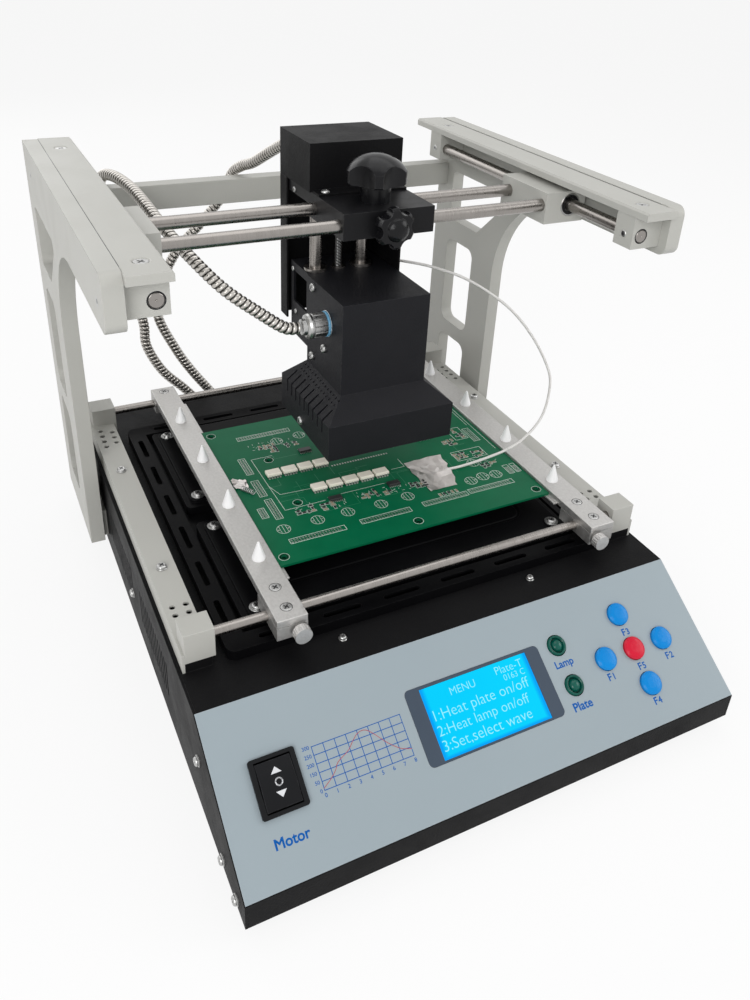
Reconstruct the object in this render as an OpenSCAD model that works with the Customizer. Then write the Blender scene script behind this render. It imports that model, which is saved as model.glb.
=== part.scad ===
// Bench rework station: a low heated base with a sloping control panel, a board clamp on two
// cross rods, and an overhead gantry that carries an infrared head in three directions.
// Millimetres. X runs to the right, Y to the back and Z up. The station stands on its feet at Z 0.

/* [Base] */
// Width of the base across its side panels
base_w = 310; // [290:1:350]
// Depth of the base from the front lip to the rear wall
base_d = 393; // [380:1:430]
// Height of the front lip
lip_h = 17; // [12:1:24]
// Height of the top deck above the underside
deck_h = 65; // [60:1:80]
// Depth that the sloping panel covers
slope_d = 76; // [70:1:86]
// Thickness of the sheet metal
sheet = 1.5; // [1:0.1:2]
// Diameter of a rubber foot
foot_d = 18; // [12:1:26]
// Height of a rubber foot
foot_h = 8.5; // [5:0.5:15]
// Distance of a foot's centre from the edges of the base
foot_inset = 24; // [16:1:40]

/* [Vents] */
// Width of a vent slot in the side panels
vent_w = 2; // [1.5:0.1:3]
// Height of a vent slot
vent_h = 26; // [16:1:34]
// Distance between vent slots
vent_pitch = 5; // [4.5:0.5:6]
// Slots in each of the two groups
vent_count = 14; // [6:1:15]

/* [Control panel] */
// Thickness of the printed overlay
overlay_t = 0.6; // [0.3:0.1:1]
// Width of the display bezel
lcd_w = 88; // [80:1:96]
// Height of the display bezel
lcd_h = 41; // [41:0.5:46]
// Width of the display's lit area
view_w = 70; // [60:1:74]
// Height of the display's lit area
view_h = 38; // [34:0.5:38]
// Place of the display across the panel
lcd_u = -1; // [-6:1:4]
// Place of the display up the panel
lcd_v = 45.5; // [42:0.5:48]
// Width of the rocker switch
rocker_w = 24.7; // [22:0.1:28]
// Height of the rocker switch
rocker_h = 28.7; // [26:0.1:32]
// Place of the rocker to the left of the middle, as a share of half the panel
rocker_share = 0.8; // [0.74:0.01:0.81]
// Place of the rocker up the panel
rocker_v = 45.4; // [40:0.1:50]
// Diameter of a button
button_d = 13.5; // [10:0.5:15]
// Distance from the middle button to each of the other four
button_pitch = 21.5; // [19:0.5:24]
// How far a button goes in
button_travel = 1.5; // [0.5:0.1:2]
// Place of the middle button to the right of the middle, as a share of half the panel
pad_share = 0.673; // [0.65:0.001:0.7]
// Place of the middle button up the panel
pad_v = 45.1; // [43:0.1:47]
// Diameter of an indicator lens
lens_d = 12; // [8:0.5:14]
// Distance between the two indicator lenses
lens_pitch = 23.8; // [18:0.2:28]
// Place of the lenses to the right of the middle, as a share of half the panel
lens_share = 0.36; // [0.35:0.005:0.385]

/* [Heater] */
// Distance of the heater tray from the front lip
tray_front = 102; // [96:1:106]
// Depth of the heater tray
tray_d = 250; // [230:1:260]
// Height of the tray's rim above the deck
tray_h = 7; // [5:0.5:10]
// Width of the slotted rim
rim_w = 12; // [10:0.5:15]
// Thickness of a heater plate
plate_t = 8.5; // [6:0.5:12]
// Gap between the two heater plates
plate_gap = 17; // [8:1:24]
// Length of a slot in the rim
rim_slot = 24; // [12:1:28]

/* [Board holder] */
// Distance of the side rails from the front lip
rail_front = 104.5; // [100:0.5:108]
// Length of a side rail
rail_l = 268.5; // [262:0.5:280]
// Width of a side rail
rail_w = 16.5; // [15:0.5:20]
// Height of a side rail above its seat
rail_h = 6.5; // [5:0.5:10]
// Height of the seat under a side rail
seat_h = 6; // [3:0.5:10]
// Diameter of a cross rod
rod_d = 6; // [5:0.5:7]
// Width of a clamp bar
bar_w = 18; // [16:0.5:20]
// Thickness of a clamp bar
bar_t = 5; // [4:0.5:7]
// Width of the ledge that carries the board
ledge_w = 3; // [2:0.5:4]
// Distance between the support pins on a bar
pin_pitch = 56.5; // [46:0.5:58]
// Height of a support pin
pin_h = 12; // [8:0.5:12.5]
// Diameter of a support pin
pin_d = 8; // [6:0.5:10]
// Diameter of a thumbscrew's head
thumb_d = 10; // [8:0.5:12]
// Width of the sample board
board_w = 192; // [180:1:194]
// Depth of the sample board
board_d = 160; // [140:1:170]
// Place of the board's middle across the station
board_x = 11.2; // [6:0.2:13]

/* [Gantry] */
// Thickness of a side frame
frame_t = 10; // [8:0.5:12]
// Thickness of the pad where a side frame meets the base
frame_pad = 3.5; // [2:0.5:6]
// Distance of the gantry's front end from the front lip
arm_front = 131.5; // [126:0.5:136]
// Height of the gantry's top above the deck
gantry_rise = 217; // [214:1:240]
// Height of a side frame's arm
arm_h = 30; // [28:0.5:34]
// Width of a side frame's leg
leg_w = 92; // [86:1:100]
// Radius of the brace between arm and leg
brace_r = 75; // [60:1:80]
// Width of the caps over the guide rods
cap_w = 22; // [21:0.5:24]
// Thickness of the caps
cap_t = 5; // [4:0.5:6]
// Diameter of the guide rods and the bridge rods
guide_d = 8; // [7:0.5:9]
// Length of a bridge block along its guide rod
bridge_l = 50.7; // [48:0.1:54]
// Free space in front of a bridge block at rest
bridge_rest = 51.7; // [47:0.1:56]

/* [Head] */
// Width of the carriage and of the head's neck
head_w = 60; // [56:1:64]
// Place of the head's middle across the station
head_x = 10.4; // [4:0.2:14]
// Free height between the head and the carriage at rest
lift_gap = 39.5; // [39.5:0.5:44]
// Height of the head's neck
neck_h = 61; // [57:1:64]
// Depth of the head's neck
neck_d = 55.5; // [54:0.5:57]
// Height of the slope between neck and foot
flare_h = 12; // [10:0.5:14]
// Width of the head's foot
foot_w = 89; // [84:1:94]
// Depth of the head's foot
foot_l = 81; // [78:1:81]
// Height of the head's foot
mouth_h = 24.5; // [20:0.5:25]
// Height of the motor cover
cover_h = 29.6; // [28:0.2:34]
// Diameter of the clamping knob on top of the carriage
knob_d = 37; // [33:1:39]
// Diameter of the star knob in front of the carriage
star_d = 25; // [22:1:26]

/* [Hidden] */
$fn = 64;
// Radial clearance of a piece that slides or turns
run = 0.05;
// Clearance of pieces that are set into each other
fit = 0.1;
// Clearance of a button, key or lens in its opening
free = 0.3;
// Length by which a cutter passes a face
past = 1;

// Base
half_w = base_w / 2;
inner_w = base_w - 2 * sheet;
slope_a = atan((deck_h - lip_h) / slope_d);
slope_l = norm([slope_d, deck_h - lip_h]);
cap_rear = base_d + 9;
mid_y = cap_rear / 2;
vent_z = deck_h / 2 - 14;
vent_y = [135, 225];
gland_d = 12;
gland_x = [-30, -46];
gland_z = 38;
gland_y = base_d + 19;
gland_tilt = 35;
gland_l = 10;
inlet = [30, 22];
inlet_x = 95;
inlet_z = 32;
inlet_deep = 20;

// Control panel, with u across it, v up it and w out of it
view_v = lcd_v - 0.3;
lens_v = 49.8;
lcd_r = 3;
key_w = rocker_w - 6;
key_h = rocker_h - 5.5;
rocker_lip = 2;
rocker_deep = 14;
key_pivot = -2;
key_pin = 3;
rocker_u = -half_w * rocker_share;
pad_u = half_w * pad_share;
lens_u = half_w * lens_share;
ctrl_u = -50;
ctrl_v = [10, 82];
ctrl_posts = [-46, 0.465 * half_w, half_w - 14];
power_at = [-70, 200];
power_size = [150, 110];
power_up = 6;
post_in = 5;
button_rise = 2.6;
board_deep = 8;
pcb_t = 1.6;
button_names = ["f1", "f2", "f3", "f4", "f5"];
button_steps = [[-1, 0], [1, 0], [0, 1], [0, -1], [0, 0]];

// Board holder
rail_gap = 2.5;
rail_out = half_w - rail_gap;
rail_in = rail_out - rail_w;
rail_z = deck_h + seat_h;
rail_rear = rail_front + rail_l;
end_front_l = 15;
end_rear_l = 17;
end_h = 19.5;
end_over = 2;
end_in = rail_in - end_over;
rod_z = rail_z + 11.5;
rod_y = [rail_front + 6, rail_rear - 6.4];
rod_hold = 12;
hole_x = [3.6, 11.4];
spare_pitch = 7.6;
rail_screws = [0.276, 0.691];
slider_drop = 4.4;
slider_rise = 4;
slider_front = [-16.5, 14.5];
slider_rear = [-8.5, 6.5];
bar_y = [rod_y[0] + slider_front[0], rod_y[1] + slider_rear[1]];
bar_z = rod_z + slider_rise;
bar_top = bar_z + bar_t;
ledge_t = 1.5;
board_z = bar_z + ledge_t;
board_y = 138.5;
board_side = board_w / 2 + free;
clamp_x = [board_x - board_side - bar_w / 2, board_x + board_side + bar_w / 2];
pin_y = bar_y[0] + 54.2;
thumb_in = 4;
thumb_l = 5;
thumb_neck = 1.6;
thumb_shank = 4;
chip_pitch = 11.4;
chip = [9.8, 6.4, 3.6];
// Each row: first chip's place on the board in X and Y, and the number of chips
chip_rows = [[-71.5, 86, 4], [-49.5, 59.7, 5]];

// Heater
rim_gap = 8;
tray_w = 2 * (rail_in - rim_gap);
tray_z = deck_h + sheet;
plate_margin = 3;
plate_w = tray_w - 2 * rim_w - 2 * plate_margin;
plate_d = (tray_d - 2 * rim_w - plate_gap) / 2 - plate_margin;
plate_y = tray_front + rim_w + plate_margin;
plate_step = 2;
plate_hole = 10;
// Pressed groove in a heater plate: its distance from the edges, taken twice, and its depth
bead = [44, 0.8];

// Gantry
frame_in = half_w + frame_pad;
frame_rear = base_d + 5;
gantry_top = deck_h + gantry_rise;
arm_z = gantry_top - arm_h;
leg_front = frame_rear - leg_w;
leg_z = 10;
strut = 30;
cap_front = arm_front - 3.5;
cap_z = gantry_top - cap_t - 0.5;
end_w = 21.5;
guide_z = cap_z - 12;
guide_x = frame_in - 15;
guide_y = [arm_front + 6.5, frame_rear - 18];
guide_end = 16;
end_drop = 7.8;
guide_drop = 11.5;
beam = [12, 18];
beam_y = frame_rear - 14;
beam_z = arm_z - 21.5;
sink_d = [4.4, 9];
sink_h = 2.3;

// Bridge and carriage
bridge_y = guide_y[0] + guide_end + bridge_rest;
bridge_in = guide_x - 19.5;
bridge_w = 31;
bridge_h = 20.4;
bridge_z = guide_z - guide_drop;
bush_d = 15;
cross_y = [bridge_y + 5.5, bridge_y + bridge_l - 8.5];
cross_hold = 10;
car_y = bridge_y - 1.3;
car_l = 52;
car_h = 16;
car_z = guide_z - car_h / 2 + 1;
car_top = car_z + car_h;
car_rear = car_y + car_l;
shelf_l = 34;
shelf_t = 8;
cover_y = car_rear - 4.5;
cover_d = 50;
cover_rear = cover_y + cover_d;
wall = 1.5;
lift_x = head_x - 4.8;
lift_y = car_rear + 9;
lift_pitch = 33;
screw_d = 5;
motor_d = 24;
stem_d = 18.7;
stem_l = 11;
rim_l = 8.2;
knob_dome = 9;
flute_d = 44;

// Head
neck_y = car_y - 3;
head_top = car_z - lift_gap;
neck_z = head_top - neck_h;
foot_top = neck_z - flare_h;
foot_z = foot_top - mouth_h;
foot_y = neck_y - 15.5;
bracket_y = neck_y + neck_d;
bracket_d = 31;
bracket_t = 4;
bracket_w = head_w - 1.6;
bracket_h = 52;
channel_w = head_w + 2 * wall + 0.5;
channel_z = head_top - 43;
channel_side_z = neck_z + 41;
lift_bush_d = 11;
bush_l = 22;
lift_low = head_top - bush_l;
shell = 2;
slot_pitch = 7.4;
hole_pitch = 4.2;
neck_left = head_x - head_w / 2;
gland_y_head = neck_y + 24;
gland_z_head = head_top - 21;
gland_rise = [3, 11, 4.4];

// Routes of the conduits and the sensor lead, drawn at the sizes above and then fitted to their ends
conduit_d = 8;
lead_d = 1.9;
motor_from = [head_x - 15.4, cover_rear, car_top + 17.5];
gland_tip = neck_left - gland_rise[0] - gland_rise[1] - gland_rise[2];
head_from = [gland_tip - 0.8, gland_y_head, gland_z_head];
lead_from = [head_x + channel_w / 2 + 1, car_rear + 5.6, channel_side_z + 21];
lead_to = [board_x + 44.2, board_y + 49.6, board_z + pcb_t + lead_d / 2];
function gland_end(k) =
    [gland_x[k], gland_y, gland_z] + (gland_l + 0.5) * [-sin(gland_tilt), 0, cos(gland_tilt)];
motor_route = [
    [-5, 302, 291], [-6, 314, 290], [-8, 332, 284], [-11, 352, 274], [-15, 375, 262],
    [-18, 391, 256], [-21.5, 405, 247], [-30, 411, 226], [-46, 412, 208], [-66, 413, 187],
    [-80, 414, 160], [-84, 414, 135], [-72, 413, 104], [-60, 412, 82], [-46, 412, 61],
    [-35.7, 412, 46.2],
];
head_route = [
    [-39, 225.4, 197], [-48, 225.8, 198.6], [-63, 231, 209], [-81, 240, 223], [-95, 258, 238],
    [-103, 285, 248], [-107, 315, 255], [-110, 345, 259], [-115, 372, 260], [-119, 392, 256],
    [-120, 406, 245], [-119, 414, 228], [-116, 416, 205], [-110, 415, 180], [-101, 414, 152],
    [-96, 413, 130], [-95, 413, 110], [-84, 412, 86], [-67, 412, 66], [-51.7, 412, 46.2],
];
lead_route = [
    [42.5, 262, 219], [49, 259, 219], [68, 248, 216], [92, 237, 207], [119, 226, 188],
    [136, 216, 167], [146, 206, 145], [146, 200, 131], [138, 194, 113], [122.5, 190, 101],
    [105.5, 187.5, 95.6], [85.5, 187, 92.6], [67.5, 187, 91.2], [55.4, 188.1, 90.6],
];

black = [0.09, 0.09, 0.1];
grey = [0.77, 0.78, 0.74];
steel = [0.72, 0.71, 0.69];
alu = [0.74, 0.74, 0.75];

// Frames and helpers

// Moves the station from its front lip and underside to the middle of its standing area
module place() {
    translate([0, -mid_y, foot_h]) children();
}

// Puts children on the sloping panel at u, v, with +Z out of the panel
module on_panel(u, v) {
    translate([0, 0, lip_h]) rotate([slope_a, 0, 0]) translate([u, v, 0]) children();
}

// Repeats children on the left and on the right
module both_sides() {
    for (side = [0, 1]) mirror([side, 0, 0]) children();
}

// Extrudes an outline drawn in Y and Z along X, from x
module along_x(x, length) {
    translate([x, 0, 0]) rotate([90, 0, 90]) linear_extrude(length) children();
}

// Box given by its low corner and its size
module block(at, size) {
    translate(at) cube(size);
}

// Flat rectangle with round corners, about the origin
module round_rect(w, h, r) {
    square([w - 2 * r, h], center = true);
    square([w, h - 2 * r], center = true);
    for (x = [-1, 1], y = [-1, 1])
        translate([x * (w / 2 - r), y * (h / 2 - r)]) circle(r);
}

// Rod along Y from y0 to y1
module rod_y_at(x, z, d, y0, y1) {
    translate([x, y0, z]) rotate([-90, 0, 0]) cylinder(d = d, h = y1 - y0);
}

// Rod along X from x0 to x1
module rod_x_at(y, z, d, x0, x1) {
    translate([x0, y, z]) rotate([0, 90, 0]) cylinder(d = d, h = x1 - x0);
}

// Tube swept along a route: a ring of corners at every point, square to the path there
function unit(v) = v / norm(v);
// Route moved so that it starts and ends at the given points; the shift runs evenly along it
function fitted(route, from, to) =
    let (last = len(route) - 1, a = from - route[0], b = to - route[last])
    [for (i = [0 : last]) route[i] + a * (1 - i / last) + b * i / last];
function heading(path, i) =
    unit(path[min(i + 1, len(path) - 1)] - path[max(i - 1, 0)]);
function side_of(t) = unit(cross(t, abs(t.z) < 0.9 ? [0, 0, 1] : [0, 1, 0]));
// Side directions along a path, carried from point to point so that the tube does not twist
function carried(path, i, s) =
    i == len(path) ? [] :
    let (t = heading(path, i), a = unit(s - (s * t) * t)) concat([a], carried(path, i + 1, a));
function ring(p, t, a, r, n) =
    let (b = cross(t, a))
    [for (k = [0 : n - 1]) p + r * (cos(360 * k / n) * a + sin(360 * k / n) * b)];
// Point at share s between p1 and p2 on a smooth curve through four points
function bend(p0, p1, p2, p3, s) =
    0.5 * (2 * p1 + (p2 - p0) * s + (2 * p0 - 5 * p1 + 4 * p2 - p3) * s * s
        + (3 * p1 - p0 - 3 * p2 + p3) * s * s * s);
function smooth(path, steps) = concat(
    [for (i = [0 : len(path) - 2], k = [0 : steps - 1])
        bend(path[max(i - 1, 0)], path[i], path[i + 1], path[min(i + 2, len(path) - 1)], k / steps)],
    [path[len(path) - 1]]);

module tube(route, d, n, steps) {
    path = smooth(route, steps);
    last = len(path) - 1;
    sides_at = carried(path, 0, side_of(heading(path, 0)));
    points = [for (i = [0 : last]) each ring(path[i], heading(path, i), sides_at[i], d / 2, n)];
    sides = [for (i = [0 : last - 1], k = [0 : n - 1])
        [i * n + k, i * n + (k + 1) % n, (i + 1) * n + (k + 1) % n, (i + 1) * n + k]];
    first_end = [for (k = [n - 1 : -1 : 0]) k];
    last_end = [for (k = [0 : n - 1]) last * n + k];
    polyhedron(points, concat(sides, [first_end], [last_end]), convexity = 10);
}

// Pan-headed screw with a washer, its seat at the origin and its head along +Z
module pan_screw(d, washer) {
    cylinder(d = washer, h = 0.8);
    translate([0, 0, 0.8]) cylinder(d1 = d, d2 = d * 0.7, h = 1.8);
}

// Base

// Side view of the base in Y and Z; with an inset it is the space under the bent sheet
module base_outline(inset) {
    below = inset > 0 ? -past : 0;
    behind = inset > 0 ? past : 0;
    slope_drop = inset / cos(slope_a);
    polygon([
        [inset, below],
        [inset, lip_h + inset * tan(slope_a) - slope_drop],
        [slope_d + (slope_drop - inset) / tan(slope_a), deck_h - inset],
        [base_d + behind, deck_h - inset],
        [base_d + behind, below],
    ]);
}

module base_pan() {
    color(black) place() difference() {
        union() {
            block([-inner_w / 2, sheet, 0], [inner_w, base_d - sheet, sheet]);
            block([-inner_w / 2, base_d - sheet, 0], [inner_w, sheet, deck_h - sheet]);
        }
        for (x = gland_x)
            rod_y_at(x, gland_z, gland_d - 2 + fit, base_d - sheet - past, base_d + past);
        block([inlet_x - inlet.x / 2 + 1, base_d - sheet - past, inlet_z - inlet.y / 2 + 1],
            [inlet.x - 2, sheet + 2 * past, inlet.y - 2]);
    }
}

module base_cover() {
    color(black) place() difference() {
        union() {
            along_x(-inner_w / 2, inner_w) difference() {
                base_outline(0);
                base_outline(sheet);
            }
            both_sides() block([rail_in, rail_front, deck_h - sheet], [rail_w - sheet, rail_l, seat_h + sheet]);
        }
        on_panel(lcd_u, view_v) block([-view_w / 2 - 2, -view_h / 2, -10], [view_w + 4, view_h, 20]);
        on_panel(rocker_u, rocker_v) rocker_hole();
        for (s = button_steps)
            on_panel(pad_u + s.x * button_pitch, pad_v + s.y * button_pitch) panel_hole(button_d);
        for (s = [-1, 1]) on_panel(lens_u, lens_v + s * lens_pitch / 2) panel_hole(lens_d);
    }
}

module panel_hole(d) {
    translate([0, 0, -10]) cylinder(d = d + 2 * free, h = 20);
}

module rocker_hole() {
    translate([0, 0, -past]) cube([rocker_w - 2 + 2 * fit, rocker_h - 2 + 2 * fit, 20], center = true);
}

module side_panels() {
    color(black) place() both_sides() difference() {
        along_x(half_w - sheet, sheet) base_outline(0);
        for (y0 = vent_y, k = [0 : vent_count - 1])
            block([half_w - sheet - past, y0 + k * vent_pitch, vent_z],
                [sheet + 2 * past, vent_w, vent_h]);
    }
}

module feet() {
    color([0.12, 0.12, 0.12]) place() both_sides()
        for (y = [foot_inset, base_d - foot_inset])
            translate([half_w - foot_inset, y, -foot_h]) cylinder(d1 = foot_d - 2, d2 = foot_d, h = foot_h);
}

// Control panel

module panel_overlay() {
    color([0.58, 0.64, 0.68]) place() difference() {
        on_panel(0, 0) block([-half_w + 0.5, 0.5, 0], [base_w - 1, slope_l - 0.5, overlay_t]);
        on_panel(lcd_u, lcd_v) translate([0, 0, -past]) linear_extrude(overlay_t + 2 * past)
            round_rect(lcd_w + 2 * fit, lcd_h + 2 * fit, lcd_r + fit);
        on_panel(rocker_u, rocker_v) rocker_hole();
        for (s = button_steps)
            on_panel(pad_u + s.x * button_pitch, pad_v + s.y * button_pitch) panel_hole(button_d);
        for (s = [-1, 1]) on_panel(lens_u, lens_v + s * lens_pitch / 2) panel_hole(lens_d);
    }
}

// Display bezel and the frame of the rocker switch with its pin
module panel_bezels() {
    color([0.16, 0.19, 0.24]) place() {
        on_panel(lcd_u, lcd_v) linear_extrude(overlay_t + 0.3) difference() {
            round_rect(lcd_w, lcd_h, lcd_r);
            translate([0, view_v - lcd_v]) square([view_w + 2 * fit, view_h + 2 * fit], center = true);
        }
        on_panel(rocker_u, rocker_v) difference() {
            union() {
                translate([0, 0, overlay_t]) linear_extrude(rocker_lip)
                    round_rect(rocker_w, rocker_h, 1.5);
                translate([0, 0, -rocker_deep]) linear_extrude(rocker_deep + overlay_t + rocker_lip / 2)
                    square([rocker_w - 2, rocker_h - 2], center = true);
            }
            translate([0, 0, -rocker_deep + 2]) linear_extrude(rocker_deep + 10)
                square([key_w + 2 * free, key_h + 5 * free], center = true);
        }
        on_panel(rocker_u, rocker_v) translate([0, 0, key_pivot])
            rod_x_at(0, 0, key_pin, -key_w / 2 - 2 * free, key_w / 2 + 2 * free);
    }
}

module lcd_screen() {
    color([0.0, 0.65, 0.95]) place() on_panel(lcd_u, view_v)
        block([-view_w / 2, -view_h / 2, -board_deep], [view_w, view_h, board_deep + 0.5]);
}

module indicator_lenses() {
    color([0.02, 0.3, 0.16]) place() for (s = [-1, 1])
        on_panel(lens_u, lens_v + s * lens_pitch / 2) {
            translate([0, 0, -board_deep]) cylinder(d = lens_d - 4, h = board_deep);
            cylinder(d = lens_d, h = overlay_t + 1);
            translate([0, 0, overlay_t + 1]) cylinder(d1 = lens_d, d2 = lens_d - 3, h = 1.2);
        }
}

// Rocker key at its middle position, bored for the pin it tilts on
module rocker_key() {
    half = key_h / 2;
    color(black) place() on_panel(rocker_u, rocker_v) translate([0, 0, key_pivot]) difference() {
        along_x(-key_w / 2, key_w) polygon([
            [-half, 4.2], [-half * 0.6, 4.6], [0, 5.6], [half * 0.6, 4.6], [half, 4.2],
            [half - 1, 0], [half * 0.4, -4], [-half * 0.4, -4], [-half + 1, 0],
        ]);
        rod_x_at(0, 0, key_pin + 2 * run, -key_w, key_w);
    }
}

module button(k) {
    rise = overlay_t + button_rise;
    tint = k == 4 ? [0.85, 0.1, 0.2] : [0.05, 0.53, 0.86];
    color(tint) place()
        on_panel(pad_u + button_steps[k].x * button_pitch, pad_v + button_steps[k].y * button_pitch)
            rotate_extrude() polygon([
                [0, button_travel + 0.3 - board_deep], [2.5, button_travel + 0.3 - board_deep], [2.5, -3.2],
                [button_d / 2, -3.2], [button_d / 2, rise - 1], [button_d / 2 - 1.2, rise - 0.2],
                [button_d / 4, rise + 0.2], [0, rise + 0.3],
            ]);
}

// Control board behind the panel and power board on the floor, each on its own posts
module circuit_boards() {
    color([0.05, 0.35, 0.2]) place() {
        on_panel(0, 0) {
            block([ctrl_u, ctrl_v[0], -board_deep - pcb_t],
                [half_w - 10 - ctrl_u, ctrl_v[1] - ctrl_v[0], pcb_t]);
            for (u = ctrl_posts, v = [ctrl_v[0] + post_in, ctrl_v[1] - post_in])
                translate([u, v, -board_deep]) cylinder(d = 5, h = board_deep - sheet);
        }
        translate([power_at.x, power_at.y, sheet]) {
            block([0, 0, power_up], [power_size.x, power_size.y, pcb_t]);
            for (x = [post_in, power_size.x - post_in], y = [post_in, power_size.y - post_in])
                translate([x, y, 0]) cylinder(d = 6, h = power_up);
            block([20, 25, power_up + pcb_t], [44, 40, deck_h / 2]);
            block([90, 30, power_up + pcb_t], [40, 12, deck_h / 2 - 3]);
        }
    }
}

module power_inlet() {
    color(black) place() translate([inlet_x, base_d, inlet_z]) difference() {
        union() {
            block([-inlet.x / 2, 0, -inlet.y / 2], [inlet.x, 2, inlet.y]);
            block([-inlet.x / 2 + 1 + fit, -inlet_deep, -inlet.y / 2 + 1 + fit],
                [inlet.x - 2 - 2 * fit, inlet_deep, inlet.y - 2 - 2 * fit]);
        }
        difference() {
            block([-inlet.x / 2 + 3, -inlet_deep + 3, -inlet.y / 2 + 3],
                [inlet.x - 6, inlet_deep + 10, inlet.y - 6]);
            for (x = [-7, 0, 7])
                block([x - 1, -inlet_deep, x == 0 ? 1 : -4], [2, inlet_deep - 1, 4]);
        }
    }
}

// Elbow fittings where the two conduits enter the rear wall
module rear_glands() {
    color(steel) place() for (x = gland_x) {
        rod_y_at(x, gland_z, gland_d, base_d, gland_y);
        rod_y_at(x, gland_z, gland_d - 2, base_d - sheet - 5, base_d);
        translate([x, gland_y, gland_z]) sphere(d = gland_d);
        translate([x, gland_y, gland_z]) rotate([0, -gland_tilt, 0]) cylinder(d = gland_d, h = gland_l);
        rod_y_at(x, gland_z, gland_d + 4, base_d, base_d + 3);
    }
}

// Heater

module rim_slots(length, count) {
    pitch = length / count;
    for (k = [0 : count - 1]) translate([(k + 0.5 - count / 2) * pitch, 0]) {
        square([rim_slot - 3.6, 3.6], center = true);
        for (s = [-1, 1]) translate([s * (rim_slot / 2 - 1.8), 0]) circle(1.8);
    }
}

// Pressed tray: a floor inside a raised rim whose top is slotted for air
module heater_tray() {
    inner = [tray_w - 2 * rim_w, tray_d - 2 * rim_w];
    color([0.06, 0.06, 0.07]) place() translate([0, tray_front + tray_d / 2, deck_h]) {
        linear_extrude(sheet) square([tray_w - 2 * rim_w, tray_d - 2 * rim_w], center = true);
        linear_extrude(tray_h) difference() {
            round_rect(tray_w, tray_d, 6);
            round_rect(tray_w - 2 * sheet, tray_d - 2 * sheet, 6 - sheet);
        }
        linear_extrude(tray_h) difference() {
            square([inner.x + 2 * sheet, inner.y + 2 * sheet], center = true);
            square(inner, center = true);
        }
        translate([0, 0, tray_h - sheet]) linear_extrude(sheet) difference() {
            round_rect(tray_w, tray_d, 6);
            square(inner, center = true);
            for (s = [-1, 1]) {
                translate([0, s * (tray_d - rim_w) / 2]) rim_slots(tray_w - 2 * rim_w, 6);
                translate([s * (tray_w - rim_w) / 2, 0]) rotate(90) rim_slots(tray_d - 2 * rim_w, 6);
            }
        }
    }
}

function plate_mid(k) = plate_y + plate_d / 2 + k * (plate_d + plate_gap);

// Two wide heater plates with a stepped edge
module heater_plates() {
    color([0.05, 0.05, 0.055]) place() for (k = [0, 1]) translate([0, plate_mid(k), tray_z]) {
        linear_extrude(plate_t - plate_step) round_rect(plate_w, plate_d, 4);
        difference() {
            linear_extrude(plate_t) round_rect(plate_w - 8, plate_d - 8, 4);
            translate([0, 0, plate_t - bead[1]]) linear_extrude(bead[1] + past) difference() {
                round_rect(plate_w - bead[0], plate_d - bead[0], 10);
                round_rect(plate_w - bead[0] - 4, plate_d - bead[0] - 4, 8);
            }
        }
    }
}

// Board holder

// Folded rails on their seats, with rows of spare holes near both ends
module side_rails() {
    top_y = rail_front + end_front_l;
    top_l = rail_l - end_front_l - end_rear_l;
    top_z = rail_z + rail_h;
    color(grey) place() both_sides() difference() {
        union() {
            block([rail_out - sheet, rail_front, deck_h], [sheet, rail_l, top_z - deck_h]);
            block([rail_in, top_y, top_z - sheet], [rail_w, top_l, sheet]);
            block([rail_in, top_y, rail_z], [sheet, top_l, rail_h]);
        }
        for (x = hole_x, y = [16.3, 23.3]) rail_hole(x, top_y + y);
        for (k = [0 : 3]) rail_hole(hole_x[1], top_y + top_l - 8 - k * spare_pitch);
        for (k = [0 : 2]) rail_hole(hole_x[0], top_y + top_l - 12 - k * spare_pitch);
    }
}

module rail_hole(x, y) {
    translate([rail_in + x, y, rail_z + rail_h - sheet - past]) cylinder(d = 3.6, h = sheet + 2 * past);
}

module rail_end_blocks() {
    w = rail_out - sheet - end_in;
    color(grey) place() both_sides() difference() {
        union() {
            block([end_in, rail_front, rail_z], [w, end_front_l, end_h]);
            block([end_in, rail_rear - end_rear_l, rail_z], [w, end_rear_l, end_h]);
        }
        for (y = rod_y) rod_x_at(y, rod_z, rod_d + 2 * run, end_in - past, end_in + rod_hold);
    }
}

module board_rods() {
    color(steel) place() for (y = rod_y)
        rod_x_at(y, rod_z, rod_d, -end_in - rod_hold, end_in + rod_hold);
}

// Screws of the rails, the heater plates, the caps and the deck
module chassis_screws() {
    rail_mid = rail_in + rail_w / 2;
    color(alu) place() {
        both_sides() for (share = rail_screws)
            translate([rail_mid, rail_front + share * rail_l, rail_z + rail_h]) pan_screw(6, 7);
        both_sides() for (k = [0, 1], s = [-1, 1])
            translate([plate_w / 2 - plate_hole, plate_mid(k) + s * (plate_d / 2 - plate_hole), 0])
                translate([0, 0, tray_z + plate_t]) pan_screw(6, 9);
        for (x = [-64, 64]) translate([x, slope_d + 18, deck_h]) pan_screw(4.5, 5);
        both_sides() for (y = cap_screws()) translate([frame_in - cap_w / 2, y, cap_z]) {
            cylinder(d = 4, h = cap_t);
            translate([0, 0, cap_t - sink_h]) cylinder(d1 = sink_d[0], d2 = sink_d[1], h = sink_h);
        }
    }
}

// Clamp bar with the ledge that the board lies on; side is 0 on the left and 1 on the right
module clamp_bar(side) {
    inward = 1 - 2 * side;
    color(alu) place() translate([clamp_x[side], 0, 0]) scale_x(inward) {
        block([-bar_w / 2, bar_y[0], bar_z], [bar_w, bar_y[1] - bar_y[0], bar_t]);
        block([bar_w / 2, bar_y[0] + 35, bar_z], [ledge_w, bar_y[1] - bar_y[0] - 60, ledge_t]);
    }
}

// Turns a left-hand shape into a right-hand one where the factor is -1
module scale_x(factor) {
    mirror([factor < 0 ? 1 : 0, 0, 0]) children();
}

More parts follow.
